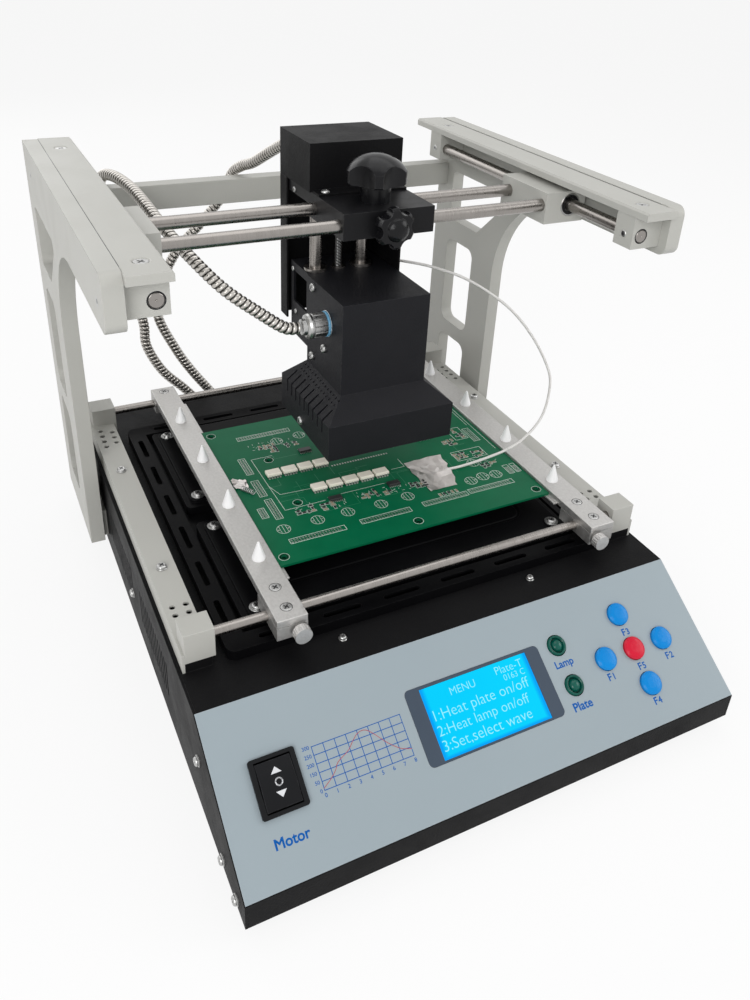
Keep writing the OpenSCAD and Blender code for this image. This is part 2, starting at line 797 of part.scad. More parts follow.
module clamp_sliders(side) {
    inward = 1 - 2 * side;
    low = rod_z - slider_drop;
    h = slider_drop + slider_rise;
    front_l = slider_front[1] - slider_front[0];
    rear_l = slider_rear[1] - slider_rear[0];
    color(alu) place() translate([clamp_x[side], 0, 0]) scale_x(inward) difference() {
        union() {
            block([-bar_w / 2, rod_y[0] + slider_front[0], low], [bar_w, front_l, h]);
            block([-bar_w / 2, rod_y[1] + slider_rear[0], low], [bar_w, rear_l, h]);
        }
        for (y = rod_y) rod_x_at(y, rod_z, rod_d + 2 * run, -bar_w, bar_w);
        rod_y_at(thumb_in, rod_z, thumb_shank + 2 * run, bar_y[0] - past, rod_y[0]);
    }
}

module clamp_pins(side) {
    color([0.95, 0.95, 0.94]) place() for (k = [0 : 3])
        translate([clamp_x[side], pin_y + k * pin_pitch, bar_top]) rotate_extrude()
            polygon([[0, 0], [pin_d / 2, 0], [pin_d / 2, 1.2], [0.7, pin_h - 0.4], [0, pin_h]]);
}

// Thumbscrew that locks a front slider on its rod; its tip stops short of the rod
module thumbscrew(side) {
    inward = 1 - 2 * side;
    neck_d = thumb_d - 4;
    tip = rod_y[0] - rod_d / 2 - free;
    head_rear = bar_y[0] - thumb_neck;
    color(alu) place() translate([clamp_x[side] + inward * thumb_in, 0, rod_z]) {
        difference() {
            rod_y_at(0, 0, thumb_d, head_rear - thumb_l, head_rear);
            for (a = [0 : 20 : 340]) rotate([0, a, 0])
                rod_y_at(thumb_d / 2 + 0.35, 0, 1.2, head_rear - thumb_l + 0.6, head_rear - 0.6);
        }
        rod_y_at(0, 0, neck_d, head_rear, bar_y[0] - fit);
        rod_y_at(0, 0, thumb_shank, bar_y[0] - fit, tip);
    }
}

module sample_board() {
    color([0.03, 0.42, 0.22]) place() difference() {
        block([board_x - board_w / 2, board_y, board_z], [board_w, board_d, pcb_t]);
        for (x = [-1, 0, 1], y = [7, board_d - 7])
            translate([board_x + x * (board_w / 2 - 5.5), board_y + y, board_z - past])
                cylinder(d = 3.2, h = pcb_t + 2 * past);
        for (y = [54.3, 108.2]) translate([board_x - 63, board_y + y, board_z - past])
            cylinder(d = 3.2, h = pcb_t + 2 * past);
    }
}

// Two rows of small white packages
module sample_chips() {
    top = board_z + pcb_t;
    color([0.9, 0.88, 0.82]) place() {
        for (row = chip_rows, k = [0 : row[2] - 1])
            chip_at(board_x + row[0] + k * chip_pitch, board_y + row[1], top);
    }
}

module chip_at(x, y, z) {
    block([x, y, z + 0.4], [chip.x, chip.y, chip.z - 0.4]);
    for (k = [0 : 3], s = [0, 1])
        block([x + 0.9 + k * 2.2, y - 0.6 + s * chip.y, z], [1.2, 1.2, 1.6]);
}

// Gantry

// Outline of a side frame in Y and Z: leg, arm, round brace and three windows
module frame_outline() {
    win_front = leg_front + strut;
    win_rear = frame_rear - 22;
    difference() {
        union() {
            translate([leg_front, leg_z]) square([leg_w, gantry_top - leg_z]);
            translate([(arm_front + frame_rear) / 2, arm_z + arm_h / 2])
                round_rect(frame_rear - arm_front, arm_h, 6);
            difference() {
                translate([leg_front - brace_r, arm_z - brace_r]) square(brace_r);
                translate([leg_front - brace_r, arm_z - brace_r]) circle(brace_r, $fn = 96);
            }
        }
        window_between(win_front, win_rear, leg_z + 26, arm_z - 151);
        window_between(win_front, win_rear, arm_z - 138, arm_z - 65);
        hull() {
            for (p = [[win_rear - 6, arm_z - 43], [win_front - 1, arm_z - 43], [win_rear - 6, arm_z - 13],
                [leg_front - 4, arm_z - 13]]) translate(p) circle(5, $fn = 32);
        }
    }
}

module window_between(y0, y1, z0, z1) {
    translate([(y0 + y1) / 2, (z0 + z1) / 2]) round_rect(y1 - y0, z1 - z0, 8);
}

// Side frame on the right, with the pad that bolts to the base
module frame_right() {
    along_x(frame_in, frame_t) frame_outline();
    block([half_w, leg_front + 6, leg_z], [frame_pad, leg_w - 12, 22]);
}

module side_frame_left() {
    color(grey) place() mirror([1, 0, 0]) frame_right();
}

module side_frame_right() {
    color(grey) place() frame_right();
}

module rear_beam() {
    color(grey) place() difference() {
        block([-frame_in, beam_y, beam_z], [2 * frame_in, beam.x, beam.y]);
        block([-frame_in - past, beam_y + 2, beam_z + 2], [2 * frame_in + 2 * past, beam.x - 4, beam.y - 4]);
    }
}

// Flat bars over the guide rods, with a chamfer along the edges and sunk screws
module guide_caps() {
    chamfer = 1.2;
    color(grey) place() both_sides() difference() {
        translate([frame_in - cap_w, cap_rear, cap_z]) rotate([90, 0, 0]) linear_extrude(cap_rear - cap_front)
            polygon([[0, 0], [cap_w, 0], [cap_w, cap_t - chamfer / 2], [cap_w - chamfer / 2, cap_t],
                [chamfer, cap_t], [0, cap_t - chamfer]]);
        for (y = cap_screws()) translate([frame_in - cap_w / 2, y, cap_z]) {
            translate([0, 0, -past]) cylinder(d = sink_d[0], h = cap_t + 2 * past);
            translate([0, 0, cap_t - sink_h]) cylinder(d1 = sink_d[0], d2 = sink_d[1], h = sink_h);
        }
    }
}

function cap_screws() = [guide_y[0] + guide_end / 2, guide_y[1] - guide_end / 2];

module guide_end_blocks() {
    low = guide_z - end_drop;
    color(grey) place() both_sides() difference() {
        for (y = [guide_y[0], guide_y[1] - guide_end])
            block([frame_in - end_w, y, low], [end_w, guide_end, cap_z - low]);
        rod_y_at(guide_x, guide_z, guide_d + 2 * run, guide_y[0] - past, guide_y[1] + past);
        for (y = cap_screws()) translate([frame_in - cap_w / 2, y, guide_z + guide_d / 2 + 1])
            cylinder(d = 3.4, h = cap_z);
    }
}

module guide_rods() {
    color(steel) place() both_sides() rod_y_at(guide_x, guide_z, guide_d, guide_y[0] + 0.5, guide_y[1] - 0.5);
}

// Bridge and carriage

module bridge_blocks() {
    color(grey) place() both_sides() difference() {
        block([bridge_in, bridge_y, bridge_z], [bridge_w, bridge_l, bridge_h]);
        rod_y_at(guide_x, guide_z, bush_d + 2 * run, bridge_y - past, bridge_y + bridge_l + past);
        for (y = cross_y) rod_x_at(y, guide_z, guide_d + 2 * run, bridge_in - past, bridge_in + cross_hold);
    }
}

module bridge_bushes() {
    color(steel) place() both_sides() difference() {
        rod_y_at(guide_x, guide_z, bush_d, bridge_y + 1, bridge_y + bridge_l - 1);
        rod_y_at(guide_x, guide_z, guide_d + 2 * run, bridge_y, bridge_y + bridge_l);
    }
}

module bridge_rods() {
    reach = bridge_in + cross_hold;
    color(steel) place() for (y = cross_y) rod_x_at(y, guide_z, guide_d, -reach, reach);
}

module carriage_block() {
    color(black) place() difference() {
        union() {
            block([head_x - head_w / 2, car_y, car_z], [head_w, car_l, car_h]);
            block([head_x - head_w / 2, car_rear, car_top - shelf_t], [head_w, shelf_l, shelf_t]);
        }
        for (y = cross_y) rod_x_at(y, guide_z, guide_d + 2 * run, head_x - head_w, head_x + head_w);
        for (s = [-1, 1]) lift_bore(s * lift_pitch / 2, guide_d + 2 * run);
        lift_bore(0, screw_d + 2 * run);
        translate([knob_x(), knob_y(), car_z + 4]) cylinder(d = 6 + 2 * run, h = car_h);
        rod_y_at(head_x, guide_z, 5 + 2 * run, car_y - past, car_y + 2.5);
    }
}

function knob_x() = head_x;
function knob_y() = car_y + 20.5;

module lift_bore(dx, d) {
    translate([lift_x + dx, lift_y, car_z - past]) cylinder(d = d, h = car_h + 2 * past);
}

// Five-sided sheet cover over the lift motor, with a foot that is screwed to the carriage
module motor_cover() {
    x0 = head_x - head_w / 2 - wall;
    w = head_w + 2 * wall;
    color(black) place() difference() {
        union() {
            block([x0, cover_y, car_top], [w, cover_d, cover_h]);
            block([x0 + wall, cover_y - 11, car_top], [head_w, 11, wall]);
        }
        block([x0 + wall, cover_y + wall, car_top - past],
            [w - 2 * wall, cover_d - 2 * wall, cover_h - wall + past]);
        for (x = [x0 + 8, x0 + w - 8]) translate([x, cover_y - 6, car_top - past]) cylinder(d = 3.4, h = 5);
        translate([knob_x(), knob_y(), car_top - past]) cylinder(d = 20, h = 5);
        rod_y_at(motor_from.x, motor_from.z, conduit_d + 1, cover_rear - wall - past, cover_rear + past);
    }
}

// Sheet channel that hangs behind the head, open to the front and on most of its left side
module back_channel() {
    x0 = head_x - channel_w / 2;
    color(black) place() {
        block([x0, cover_rear - wall, channel_z], [channel_w, wall, car_top - channel_z]);
        block([x0, cover_rear - 12, channel_z], [wall, 12 - wall, car_top - channel_z]);
        along_x(x0 + channel_w - wall, wall) polygon([
            [cover_rear - wall, channel_side_z], [cover_rear - wall, car_top],
            [car_rear + 1, car_top], [car_rear + 1, car_z - 1.5],
            [car_rear - 10, car_z - 1.5], [car_rear - 10, channel_side_z],
        ]);
    }
}

module lift_rods() {
    color(steel) place() for (s = [-1, 1])
        translate([lift_x + s * lift_pitch / 2, lift_y, lift_low])
            cylinder(d = guide_d, h = car_top - lift_low);
}

module lift_motor() {
    color([0.6, 0.6, 0.62]) place() translate([lift_x, lift_y + 4, car_top]) {
        difference() {
            cylinder(d = motor_d, h = cover_h - wall - 4);
            translate([0, -4, -past]) cylinder(d = screw_d + 2 * run, h = 8);
        }
    }
}

// Lead screw from the motor down through the nut
module lead_screw() {
    low = head_top - 28;
    color(steel) place() translate([lift_x, lift_y, low]) cylinder(d = screw_d, h = car_top + 5 - low);
}

// Knobs

// Lobed knob: a domed turning with five wide flutes
module top_knob() {
    r = knob_d / 2;
    ball = (r * r + knob_dome * knob_dome) / (2 * knob_dome);
    edge = asin(r / ball);
    dome = [for (k = [0 : 7]) ball * [sin(edge * (1 - k / 7)), cos(edge * (1 - k / 7)) - 1]];
    color(black) place() translate([knob_x(), knob_y(), car_top]) {
        translate([0, 0, -8]) cylinder(d = 6, h = 9);
        difference() {
            rotate_extrude() polygon(concat(
                [[0, fit], [stem_d / 2, fit], [stem_d / 2, stem_l], [r - 1, stem_l], [r, stem_l + 1]],
                [for (p = dome) p + [0, stem_l + rim_l + knob_dome]]
            ));
            for (k = [0 : 4]) rotate(69 + 72 * k)
                translate([flute_d / 2 + 0.777 * r, 0, stem_l - 2]) cylinder(d = flute_d, h = 40, $fn = 96);
        }
    }
}

// Star knob on the front of the carriage, turning about Y
module star_knob() {
    r = star_d / 2;
    color(black) place() translate([head_x, car_y, guide_z]) rotate([90, 0, 0]) {
        translate([0, 0, -2]) cylinder(d = 5, h = 3);
        translate([0, 0, fit]) cylinder(d = 10, h = 2.6);
        difference() {
            rotate_extrude() polygon([
                [0, 2.5], [r - 1.5, 2.5], [r, 4], [r, 8.2], [r - 1.5, 9.8], [7.2, 10.4], [6.4, 12.4],
                [4, 14], [0, 14.4],
            ]);
            for (k = [0 : 5]) rotate(5 + 60 * k) translate([r + 1.2, 0, 1]) cylinder(d = 9, h = 16);
        }
    }
}

// Head

// Sheet bracket behind the head: a top plate with the bushes, and two cheeks with a window
module head_bracket() {
    x0 = head_x - bracket_w / 2;
    cheek = 2;
    low = head_top - bracket_h;
    color(black) place() difference() {
        union() {
            block([x0, bracket_y, head_top - bracket_t], [bracket_w, bracket_d, bracket_t]);
            for (x = [x0, x0 + bracket_w - cheek]) block([x, bracket_y, low], [cheek, bracket_d, bracket_h]);
        }
        block([x0 - past, bracket_y + 4, head_top - 28], [bracket_w + 2 * past, bracket_d - 8, 22]);
        for (s = [-1, 1]) lift_cut(s * lift_pitch / 2, lift_bush_d + 2 * run);
        lift_cut(0, 9 + 2 * run);
    }
}

module lift_cut(dx, d) {
    translate([lift_x + dx, lift_y, head_top - bush_l - past]) cylinder(d = d, h = bush_l + 2 * past);
}

// Flanged bushes on the lift rods and the nut on the lead screw
module lift_bushes() {
    color(steel) place() {
        for (s = [-1, 1]) translate([lift_x + s * lift_pitch / 2, lift_y, head_top]) difference() {
            union() {
                cylinder(d = lift_bush_d + 4, h = 2);
                translate([0, 0, -bush_l + 4]) cylinder(d = lift_bush_d, h = bush_l - 4);
            }
            translate([0, 0, -bush_l]) cylinder(d = guide_d + 2 * run, h = bush_l + 10);
        }
        translate([lift_x, lift_y, head_top - 10]) difference() {
            cylinder(d = 9, h = 11);
            translate([0, 0, -past]) cylinder(d = screw_d + 2 * run, h = 20);
        }
    }
}

// Solid form of the head, drawn in by the inset: neck, slope and foot
module head_form(inset) {
    neck = [head_w - 2 * inset, neck_d - 2 * inset];
    foot = [foot_w - 2 * inset, foot_l - 2 * inset];
    neck_low = [head_x - neck.x / 2, neck_y + inset, neck_z];
    foot_low = [head_x - foot.x / 2, foot_y + inset, foot_z];
    thin = 0.01;
    block(neck_low, [neck.x, neck.y, neck_h - inset]);
    hull() {
        block(neck_low, [neck.x, neck.y, thin]);
        block([foot_low.x, foot_low.y, foot_top - thin], [foot.x, foot.y, thin]);
    }
    block(foot_low, [foot.x, foot.y, mouth_h]);
}

// Shell of the head, open below; air slots bend over the edge of its left slope under two rows of holes
module head_housing() {
    slope_w = (foot_w - head_w) / 2;
    color(black) place() difference() {
        head_form(0);
        translate([0, 0, -0.02]) head_form(shell);
        translate([head_x - foot_w / 2, foot_y + foot_l / 2, foot_top]) {
            for (k = [-4 : 4])
                block([-past, k * slot_pitch - 0.9, -9], [past + slope_w / 2, 1.8, 9 + flare_h / 2 + past]);
            for (row = [0.64, 0.85], k = [-7 : 6])
                translate([slope_w * row, (k + 0.5) * hole_pitch, flare_h * row])
                    cube([1.3, 1.3, 6], center = true);
        }
        rod_x_at(gland_y_head, gland_z_head, 8 + 2 * run, neck_left - past, neck_left + shell + past);
    }
}

// Bright dish round the lamp, set into the foot of the head
module lamp_reflector() {
    r = foot_l / 2 - 3;
    color(alu) place() translate([head_x, foot_y + foot_l / 2, foot_z + 1]) {
        rotate_extrude() polygon([
            [r, 0], [r, 1.5], [r - 4, 1.5], [18, 22], [11, 22], [11, 20.5], [17, 20.5], [r - 5.5, 0],
        ]);
        difference() {
            translate([-foot_w / 2 + 2 + fit, -foot_l / 2 + 2 + fit, 0])
                cube([foot_w - 4 - 2 * fit, foot_l - 4 - 2 * fit, 1.5]);
            translate([0, 0, -past]) cylinder(r = r - 1, h = 10);
        }
    }
}

// Infrared lamp: a round envelope with its base through the dish
module ir_lamp() {
    color([0.75, 0.45, 0.3]) place() translate([head_x, foot_y + foot_l / 2, foot_z]) rotate_extrude()
        polygon([[0, 5], [9, 6], [14.5, 10], [15.5, 15], [12.5, 19], [10.8, 21.2], [10.8, 32], [0, 32]]);
}

// Conduit fitting on the head's left cheek: lock ring, body and dome nut
module head_gland() {
    color(steel) place() translate([neck_left, gland_y_head, gland_z_head]) rotate([0, -90, 0]) {
        translate([0, 0, -shell]) cylinder(d = 8, h = shell + 1);
        cylinder(d = 18, h = gland_rise[0], $fn = 6);
        translate([0, 0, gland_rise[0]]) cylinder(d = 14, h = gland_rise[1]);
        translate([0, 0, gland_rise[0] + gland_rise[1]]) cylinder(d1 = 14, d2 = 10, h = gland_rise[2]);
    }
}

// Cords

module conduit_motor() {
    color(steel) place() tube(fitted(motor_route, motor_from, gland_end(0)), conduit_d, 10, 3);
}

module conduit_head() {
    color(steel) place() tube(fitted(head_route, head_from, gland_end(1)), conduit_d, 10, 3);
}

module sensor_lead() {
    color([0.8, 0.78, 0.72]) place() tube(fitted(lead_route, lead_from, lead_to), lead_d, 8, 4);
}

base_pan();
base_cover();
side_panels();
feet();
panel_overlay();
panel_bezels();
lcd_screen();
indicator_lenses();
rocker_key();
for (k = [0 : len(button_names) - 1])
    button(k);
circuit_boards();
power_inlet();
rear_glands();
heater_tray();
heater_plates();
side_rails();
rail_end_blocks();
board_rods();
chassis_screws();
clamp_bar(0);  // clamp_bar_left
clamp_bar(1);  // clamp_bar_right
clamp_sliders(0);  // clamp_sliders_left
clamp_sliders(1);  // clamp_sliders_right
clamp_pins(0);  // clamp_pins_left
clamp_pins(1);  // clamp_pins_right
thumbscrew(0);  // thumbscrew_left
thumbscrew(1);  // thumbscrew_right
sample_board();
sample_chips();
side_frame_left();
side_frame_right();
rear_beam();
guide_caps();
guide_end_blocks();
guide_rods();
bridge_blocks();
bridge_bushes();
bridge_rods();
carriage_block();
motor_cover();
back_channel();
lift_rods();
lift_motor();
lead_screw();
top_knob();
star_knob();
head_bracket();
lift_bushes();
head_housing();
lamp_reflector();
ir_lamp();
head_gland();
conduit_motor();
conduit_head();
sensor_lead();
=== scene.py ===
# %% [markdown]
# # A rework station, from its CAD frame to a portrait
# The station heats a circuit board from below and from above, so that one chip can be lifted off.
# Its sheet metal, rods, blocks and knobs come from CAD at real size. This lesson adds what CAD
# leaves plain: finishes, print, screw heads, wound conduits, a crumpled foil and the light.

# %% Load the frame
import math
import random

import bpy
from mathutils import Matrix, Vector


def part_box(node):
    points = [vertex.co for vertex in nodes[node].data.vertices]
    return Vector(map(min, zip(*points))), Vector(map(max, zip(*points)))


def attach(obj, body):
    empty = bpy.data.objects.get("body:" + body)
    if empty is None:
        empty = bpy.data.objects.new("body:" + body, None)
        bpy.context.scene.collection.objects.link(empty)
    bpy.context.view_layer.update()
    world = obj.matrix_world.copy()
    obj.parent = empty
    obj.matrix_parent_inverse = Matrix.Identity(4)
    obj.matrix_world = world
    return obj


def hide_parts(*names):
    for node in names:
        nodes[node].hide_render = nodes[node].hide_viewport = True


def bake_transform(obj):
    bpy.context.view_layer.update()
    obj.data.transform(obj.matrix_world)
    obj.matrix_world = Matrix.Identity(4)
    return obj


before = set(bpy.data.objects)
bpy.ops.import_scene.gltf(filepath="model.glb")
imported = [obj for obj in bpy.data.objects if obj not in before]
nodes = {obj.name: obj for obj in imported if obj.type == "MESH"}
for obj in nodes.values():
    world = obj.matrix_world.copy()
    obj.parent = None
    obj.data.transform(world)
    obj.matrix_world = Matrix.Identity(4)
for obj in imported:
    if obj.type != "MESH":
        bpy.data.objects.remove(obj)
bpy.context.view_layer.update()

# %% [markdown]
# ## Two rulers
# The drawing counts millimetres from the base's front lip and underside, and the frame counts
# metres from the middle of the standing area. One function turns the first into the second. The
# control panel gets a ruler of its own: u across it, v up the slope and w out of its face.

# %% Rulers
lip_to_middle, foot_height = 201, 8.5
panel_foot, panel_rise, panel_run = 17, 48, 76


def at(x, y, z):
    """A point in millimetres from the front lip and the underside of the base, in frame metres."""
    return Vector((x, y - lip_to_middle, z + foot_height)) / 1000


slope = math.atan2(panel_rise, panel_run)
panel_right = Vector((1, 0, 0))
panel_up = Vector((0, math.cos(slope), math.sin(slope)))
panel_out = Vector((0, -math.sin(slope), math.cos(slope)))


def on_panel(u, v, w=0.0):
    """A point on the sloping panel, in millimetres across, up and out of it."""
    return at(0, 0, panel_foot) + (panel_right * u + panel_up * v + panel_out * w) / 1000


panel_turn = Matrix((panel_right, panel_up, panel_out)).transposed().to_4x4()
print("panel slopes", round(math.degrees(slope), 1), "degrees")

# %% [markdown]
# ## Camera
# The photo was taken from the front left and above, with the lens shifted a little: the level of
# the lens axis lies above the middle of the picture. Place, turn, focal length and shift were
# solved from the station's own corners, so the camera takes these numbers as they are.

# %% Camera
lens = bpy.data.cameras.new("photo_lens")
lens.lens = 31.26
lens.sensor_width = 36
lens.shift_y = -0.11
camera = bpy.data.objects.new("photo_camera", lens)
bpy.context.scene.collection.objects.link(camera)
look_right = Vector((0.8958, -0.442, 0.0456))
look_up = Vector((0.1743, 0.4439, 0.8789))
look_back = Vector((-0.4087, -0.7794, 0.4748))
camera_turn = Matrix((look_right, look_up, look_back)).transposed().to_4x4()
camera.matrix_world = Matrix.Translation(at(-223.3, -233.3, 421.4)) @ camera_turn
bpy.context.scene.camera = camera
print("camera stands", round(camera.location.length, 3), "m from the origin")

# %% [markdown]
# ## Cords first
# Two steel conduits and one thin sensor lead run from the moving head to the base. Each follows a
# smooth curve through a few points that were read off the photo. A cord that crosses a sliding
# joint is cut into stretches at the joint.

# %% Smooth curves
def smooth(points, steps):
    """Catmull-Rom curve through the points, with that many steps between two of them."""
    line = []
    last = len(points) - 1
    for i in range(last):
        p0, p1 = points[max(i - 1, 0)], points[i]
        p2, p3 = points[i + 1], points[min(i + 2, last)]
        for k in range(steps):
            s = k / steps
            line.append(0.5 * (2 * p1 + (p2 - p0) * s + (2 * p0 - 5 * p1 + 4 * p2 - p3) * s * s
                               + (3 * p1 - p0 - 3 * p2 + p3) * s ** 3))
    line.append(points[last].copy())
    return line


def length_of(line):
    """Length of a line of points."""
    return sum((b - a).length for a, b in zip(line, line[1:]))


def even(line, step):
    """The same line with its points an even step apart."""
    count = max(2, round(length_of(line) / step))
    gap = length_of(line) / count
    out, left, here = [line[0].copy()], gap, line[0].copy()
    for point in line[1:]:
        while (point - here).length >= left:
            here = here + (point - here).normalized() * left
            out.append(here.copy())
            left = gap
        left -= (point - here).length
        here = point
    if len(out) <= count:
        out.append(line[-1].copy())
    out[-1] = line[-1].copy()
    return out


straight = even([at(0, 0, 0), at(10, 0, 0)], 0.002)
print("a straight 10 mm line in 2 mm steps has", len(straight), "points")

# %% [markdown]
# A tube is a row of rings under one skin. The direction to each ring's first point is carried along
# from ring to ring, so the tube doesn't twist. The radius may change with the way along the tube
# and round it, which is how the conduit gets its wound steel band: a narrow groove that climbs like
# a thread. The UV map keeps the way in millimetres and the turn, so that materials can follow the
# winding.

# %% Tubes
def link_mesh(name, mesh):
    """A new object with this mesh, in the scene."""
    piece = bpy.data.objects.new(name, mesh)
    bpy.context.scene.collection.objects.link(piece)
    return piece


def new_piece(name, points, faces):
    """A new object in the scene, from points and faces."""
    mesh = bpy.data.meshes.new(name)
    mesh.from_pydata(points, [], faces)
    return link_mesh(name, mesh)


def skin(rings):
    """Points and faces of a closed skin over rings of equal count."""
    count = len(rings[0])
    last = (len(rings) - 1) * count
    points = [p for ring in rings for p in ring]
    faces = [tuple(range(count - 1, -1, -1)), tuple(range(last, last + count))]
    for i in range(len(rings) - 1):
        for k in range(count):
            j = (k + 1) % count
            faces.append((i * count + k, i * count + j, (i + 1) * count + j, (i + 1) * count + k))
    return points, faces


def tube(name, line, radius, sides, way=0.0, across=None):
    """Closed tube along a line, and its last direction across; radius(way, turn) gives its size."""
    rings, ways = [], []
    for i, point in enumerate(line):
        ahead = (line[min(i + 1, len(line) - 1)] - line[max(i - 1, 0)]).normalized()
        if across is None:
            across = ahead.cross(Vector((0, 0, 1) if abs(ahead.z) < 0.9 else (0, 1, 0)))
        across = (across - ahead * across.dot(ahead)).normalized()
        other = ahead.cross(across)
        if i:
            way += (point - line[i - 1]).length
        ways.append(way * 1000)
        ring = []
        for k in range(sides):
            angle = 2 * math.pi * k / sides
            ring.append(point + (across * math.cos(angle) + other * math.sin(angle)) * radius(way, k / sides))
        rings.append(ring)
    marks = []
    for near, far in zip(ways, ways[1:]):
        for k in range(sides):
            turn, next_turn = k / sides, (k + 1) / sides
            marks += [near, turn, near, next_turn, far, next_turn, far, turn]
    marks += [ways[0], 0.0] * sides + [ways[-1], 0.0] * sides
    points, faces = skin(rings)
    piece = new_piece(name, points, faces[2:] + faces[:2])
    piece.data.polygons.foreach_set("use_smooth", [True] * len(piece.data.polygons))
    piece.data.uv_layers.new(name="way_and_turn").data.foreach_set("uv", marks)
    return piece, across


band_pitch, conduit_radius, groove_depth = 0.0034, 0.004, 0.0009


def wound(way, turn):
    """Radius of the conduit: a slightly round steel band, wound with a groove between its turns."""
    edge = abs((way / band_pitch + turn) % 1.0 - 0.5) * 2
    return conduit_radius - groove_depth * edge ** 3


print("conduit band is", round(band_pitch * 1000, 1), "mm wide, and its groove is",
      round((conduit_radius - wound(0, 0)) * 1000, 2), "mm deep")

# %% [markdown]
# The routes repeat the points of the drawing. The motor's conduit leaves its cover, goes over the
# rear beam and drops to the base. The head's conduit leaves the fitting on the head's left cheek,
# passes inside the left frame and comes down beside the first. The sensor's lead ends on the board.

# %% Routes
motor_route = [at(*p) for p in [
    (-5, 301.9, 291), (-6, 314, 290), (-8, 332, 284), (-11, 352, 274), (-15, 375, 262),
    (-18, 391, 256), (-21.5, 405, 247), (-30, 411, 226), (-46, 412, 208), (-66, 413, 187),
    (-80, 414, 160), (-84, 414, 135), (-72, 413, 104), (-60, 412, 82), (-46, 412, 61),
    (-36, 412, 46.6),
]]
head_route = [at(*p) for p in [
    (-38.8, 225.4, 197), (-48, 225.8, 198.6), (-63, 231, 209), (-81, 240, 223), (-95, 258, 238),
    (-103, 285, 248), (-107, 315, 255), (-110, 345, 259), (-115, 372, 260), (-119, 392, 256),
    (-120, 406, 245), (-119, 414, 228), (-116, 416, 205), (-110, 415, 180), (-101, 414, 152),
    (-96, 413, 130), (-95, 413, 110), (-84, 412, 86), (-67, 412, 66), (-52, 412, 46.6),
]]
lead_route = [at(*p) for p in [
    (43.2, 262, 219), (49, 259, 219), (68, 248, 216), (92, 237, 207), (119, 226, 188),
    (136, 216, 167), (146, 206, 145), (146, 200, 131), (138, 194, 113), (122.5, 190, 101),
    (105.5, 187.5, 95.6), (85.5, 187, 92.6), (67.5, 187, 91.2), (55.4, 188.1, 90.55),
]]
print("routes hold", len(motor_route), len(head_route), "and", len(lead_route), "points")


# %% Cut a cord where it passes from one sliding body to the next
steps_between = 12


def cord_in_stretches(name, node, route, cuts, shape):
    """Tubes along one route, one for each stretch between the cuts."""
    step, radius, sides = shape
    made, way, across = [], 0.0, None
    line = smooth(route, steps_between)
    marks = [0] + [c * steps_between for c in cuts] + [len(line) - 1]
    for k, (first, last) in enumerate(zip(marks, marks[1:])):
        part = even(line[first:last + 1], step)
        piece, across = tube(f"{name}_{k + 1}", part, radius, sides, way, across)
        way += length_of(part)
        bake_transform(piece)
        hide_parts(node)
        made.append(piece)
    print(name, "is", round(way * 1000), "mm long in", len(made), "stretches")
    return made


# A shape is the step along the cord in metres, its radius and the number of its sides
conduit_shape, conduit_width = (0.0004, wound, 22), 2 * conduit_radius
lead_shape, lead_width = (0.001, lambda way, turn: lead_width / 2, 10), 0.0019
conduits = cord_in_stretches("motor_conduit", "conduit_motor", motor_route, [5],
                             conduit_shape)
conduits += cord_in_stretches("head_conduit", "conduit_head", head_route, [3, 6],
                              conduit_shape)
lead_pieces = cord_in_stretches("sensor_lead_braid", "sensor_lead", lead_route, [7, 10],
                                lead_shape)

# %% [markdown]
# ## Stage and light
# The photo is a product shot on white. A pale floor catches the soft shadow. Seen by the camera or
# in a reflection, floor and world are nearly white, and the lamps stay at a plain level, so that
# colours come out as they are written. One helper makes every shader node and links what feeds it.

# %% Node helpers
def feed(node, *inputs, **values):
    """Sets a node's properties and inputs, by order or by name; a socket is linked, a number is set."""
    for key, value in [*enumerate(inputs), *values.items()]:
        if isinstance(key, str) and hasattr(node, key):
            setattr(node, key, value)
            continue
        socket = node.inputs[key.replace("_", " ") if isinstance(key, str) else key]
        if isinstance(value, bpy.types.NodeSocket):
            node.id_data.links.new(value, socket)
        else:
            socket.default_value = value
    return node


def node_in(tree, kind, *inputs, **values):
    """A new node in a tree, fed at once."""
    return feed(tree.nodes.new("ShaderNode" + kind), *inputs, **values)


def number(tree, operation, first, second=0.0):
    """The result of a sum or another operation on two numbers or sockets."""
    return node_in(tree, "Math", first, second, operation=operation).outputs[0]


def in_range(tree, value, start, end, low=0.0, high=1.0, **values):
    """A value mapped from one range into another."""
    return node_in(tree, "MapRange", value, start, end, low, high, **values).outputs[0]


def split(tree, vector):
    """The three parts of a vector socket."""
    return node_in(tree, "SeparateXYZ", vector).outputs


def seen_mask(tree):
    """A mask of the rays that show the background: from the camera, a reflection or a pane."""
    rays = node_in(tree, "LightPath").outputs
    first = number(tree, "MAXIMUM", rays["Is Camera Ray"], rays["Is Glossy Ray"])
    return number(tree, "MAXIMUM", first, rays["Is Transmission Ray"])


def empty_tree(owner):
    """The node tree of a material or a world, with nothing in it."""
    owner.use_nodes = True
    owner.node_tree.nodes.clear()
    return owner.node_tree


print("node helpers are ready")

# %% Floor and world
floor_half, floor_tone, floor_glow_share = 14, 0.86, 0.86
soft_light, white = 0.53, (1, 1, 1, 1)
floor_corners = [(x * floor_half, y * floor_half, 0) for x, y in ((-1, -1), (1, -1), (1, 1), (-1, 1))]
floor = new_piece("floor", floor_corners, [(0, 1, 2, 3)])

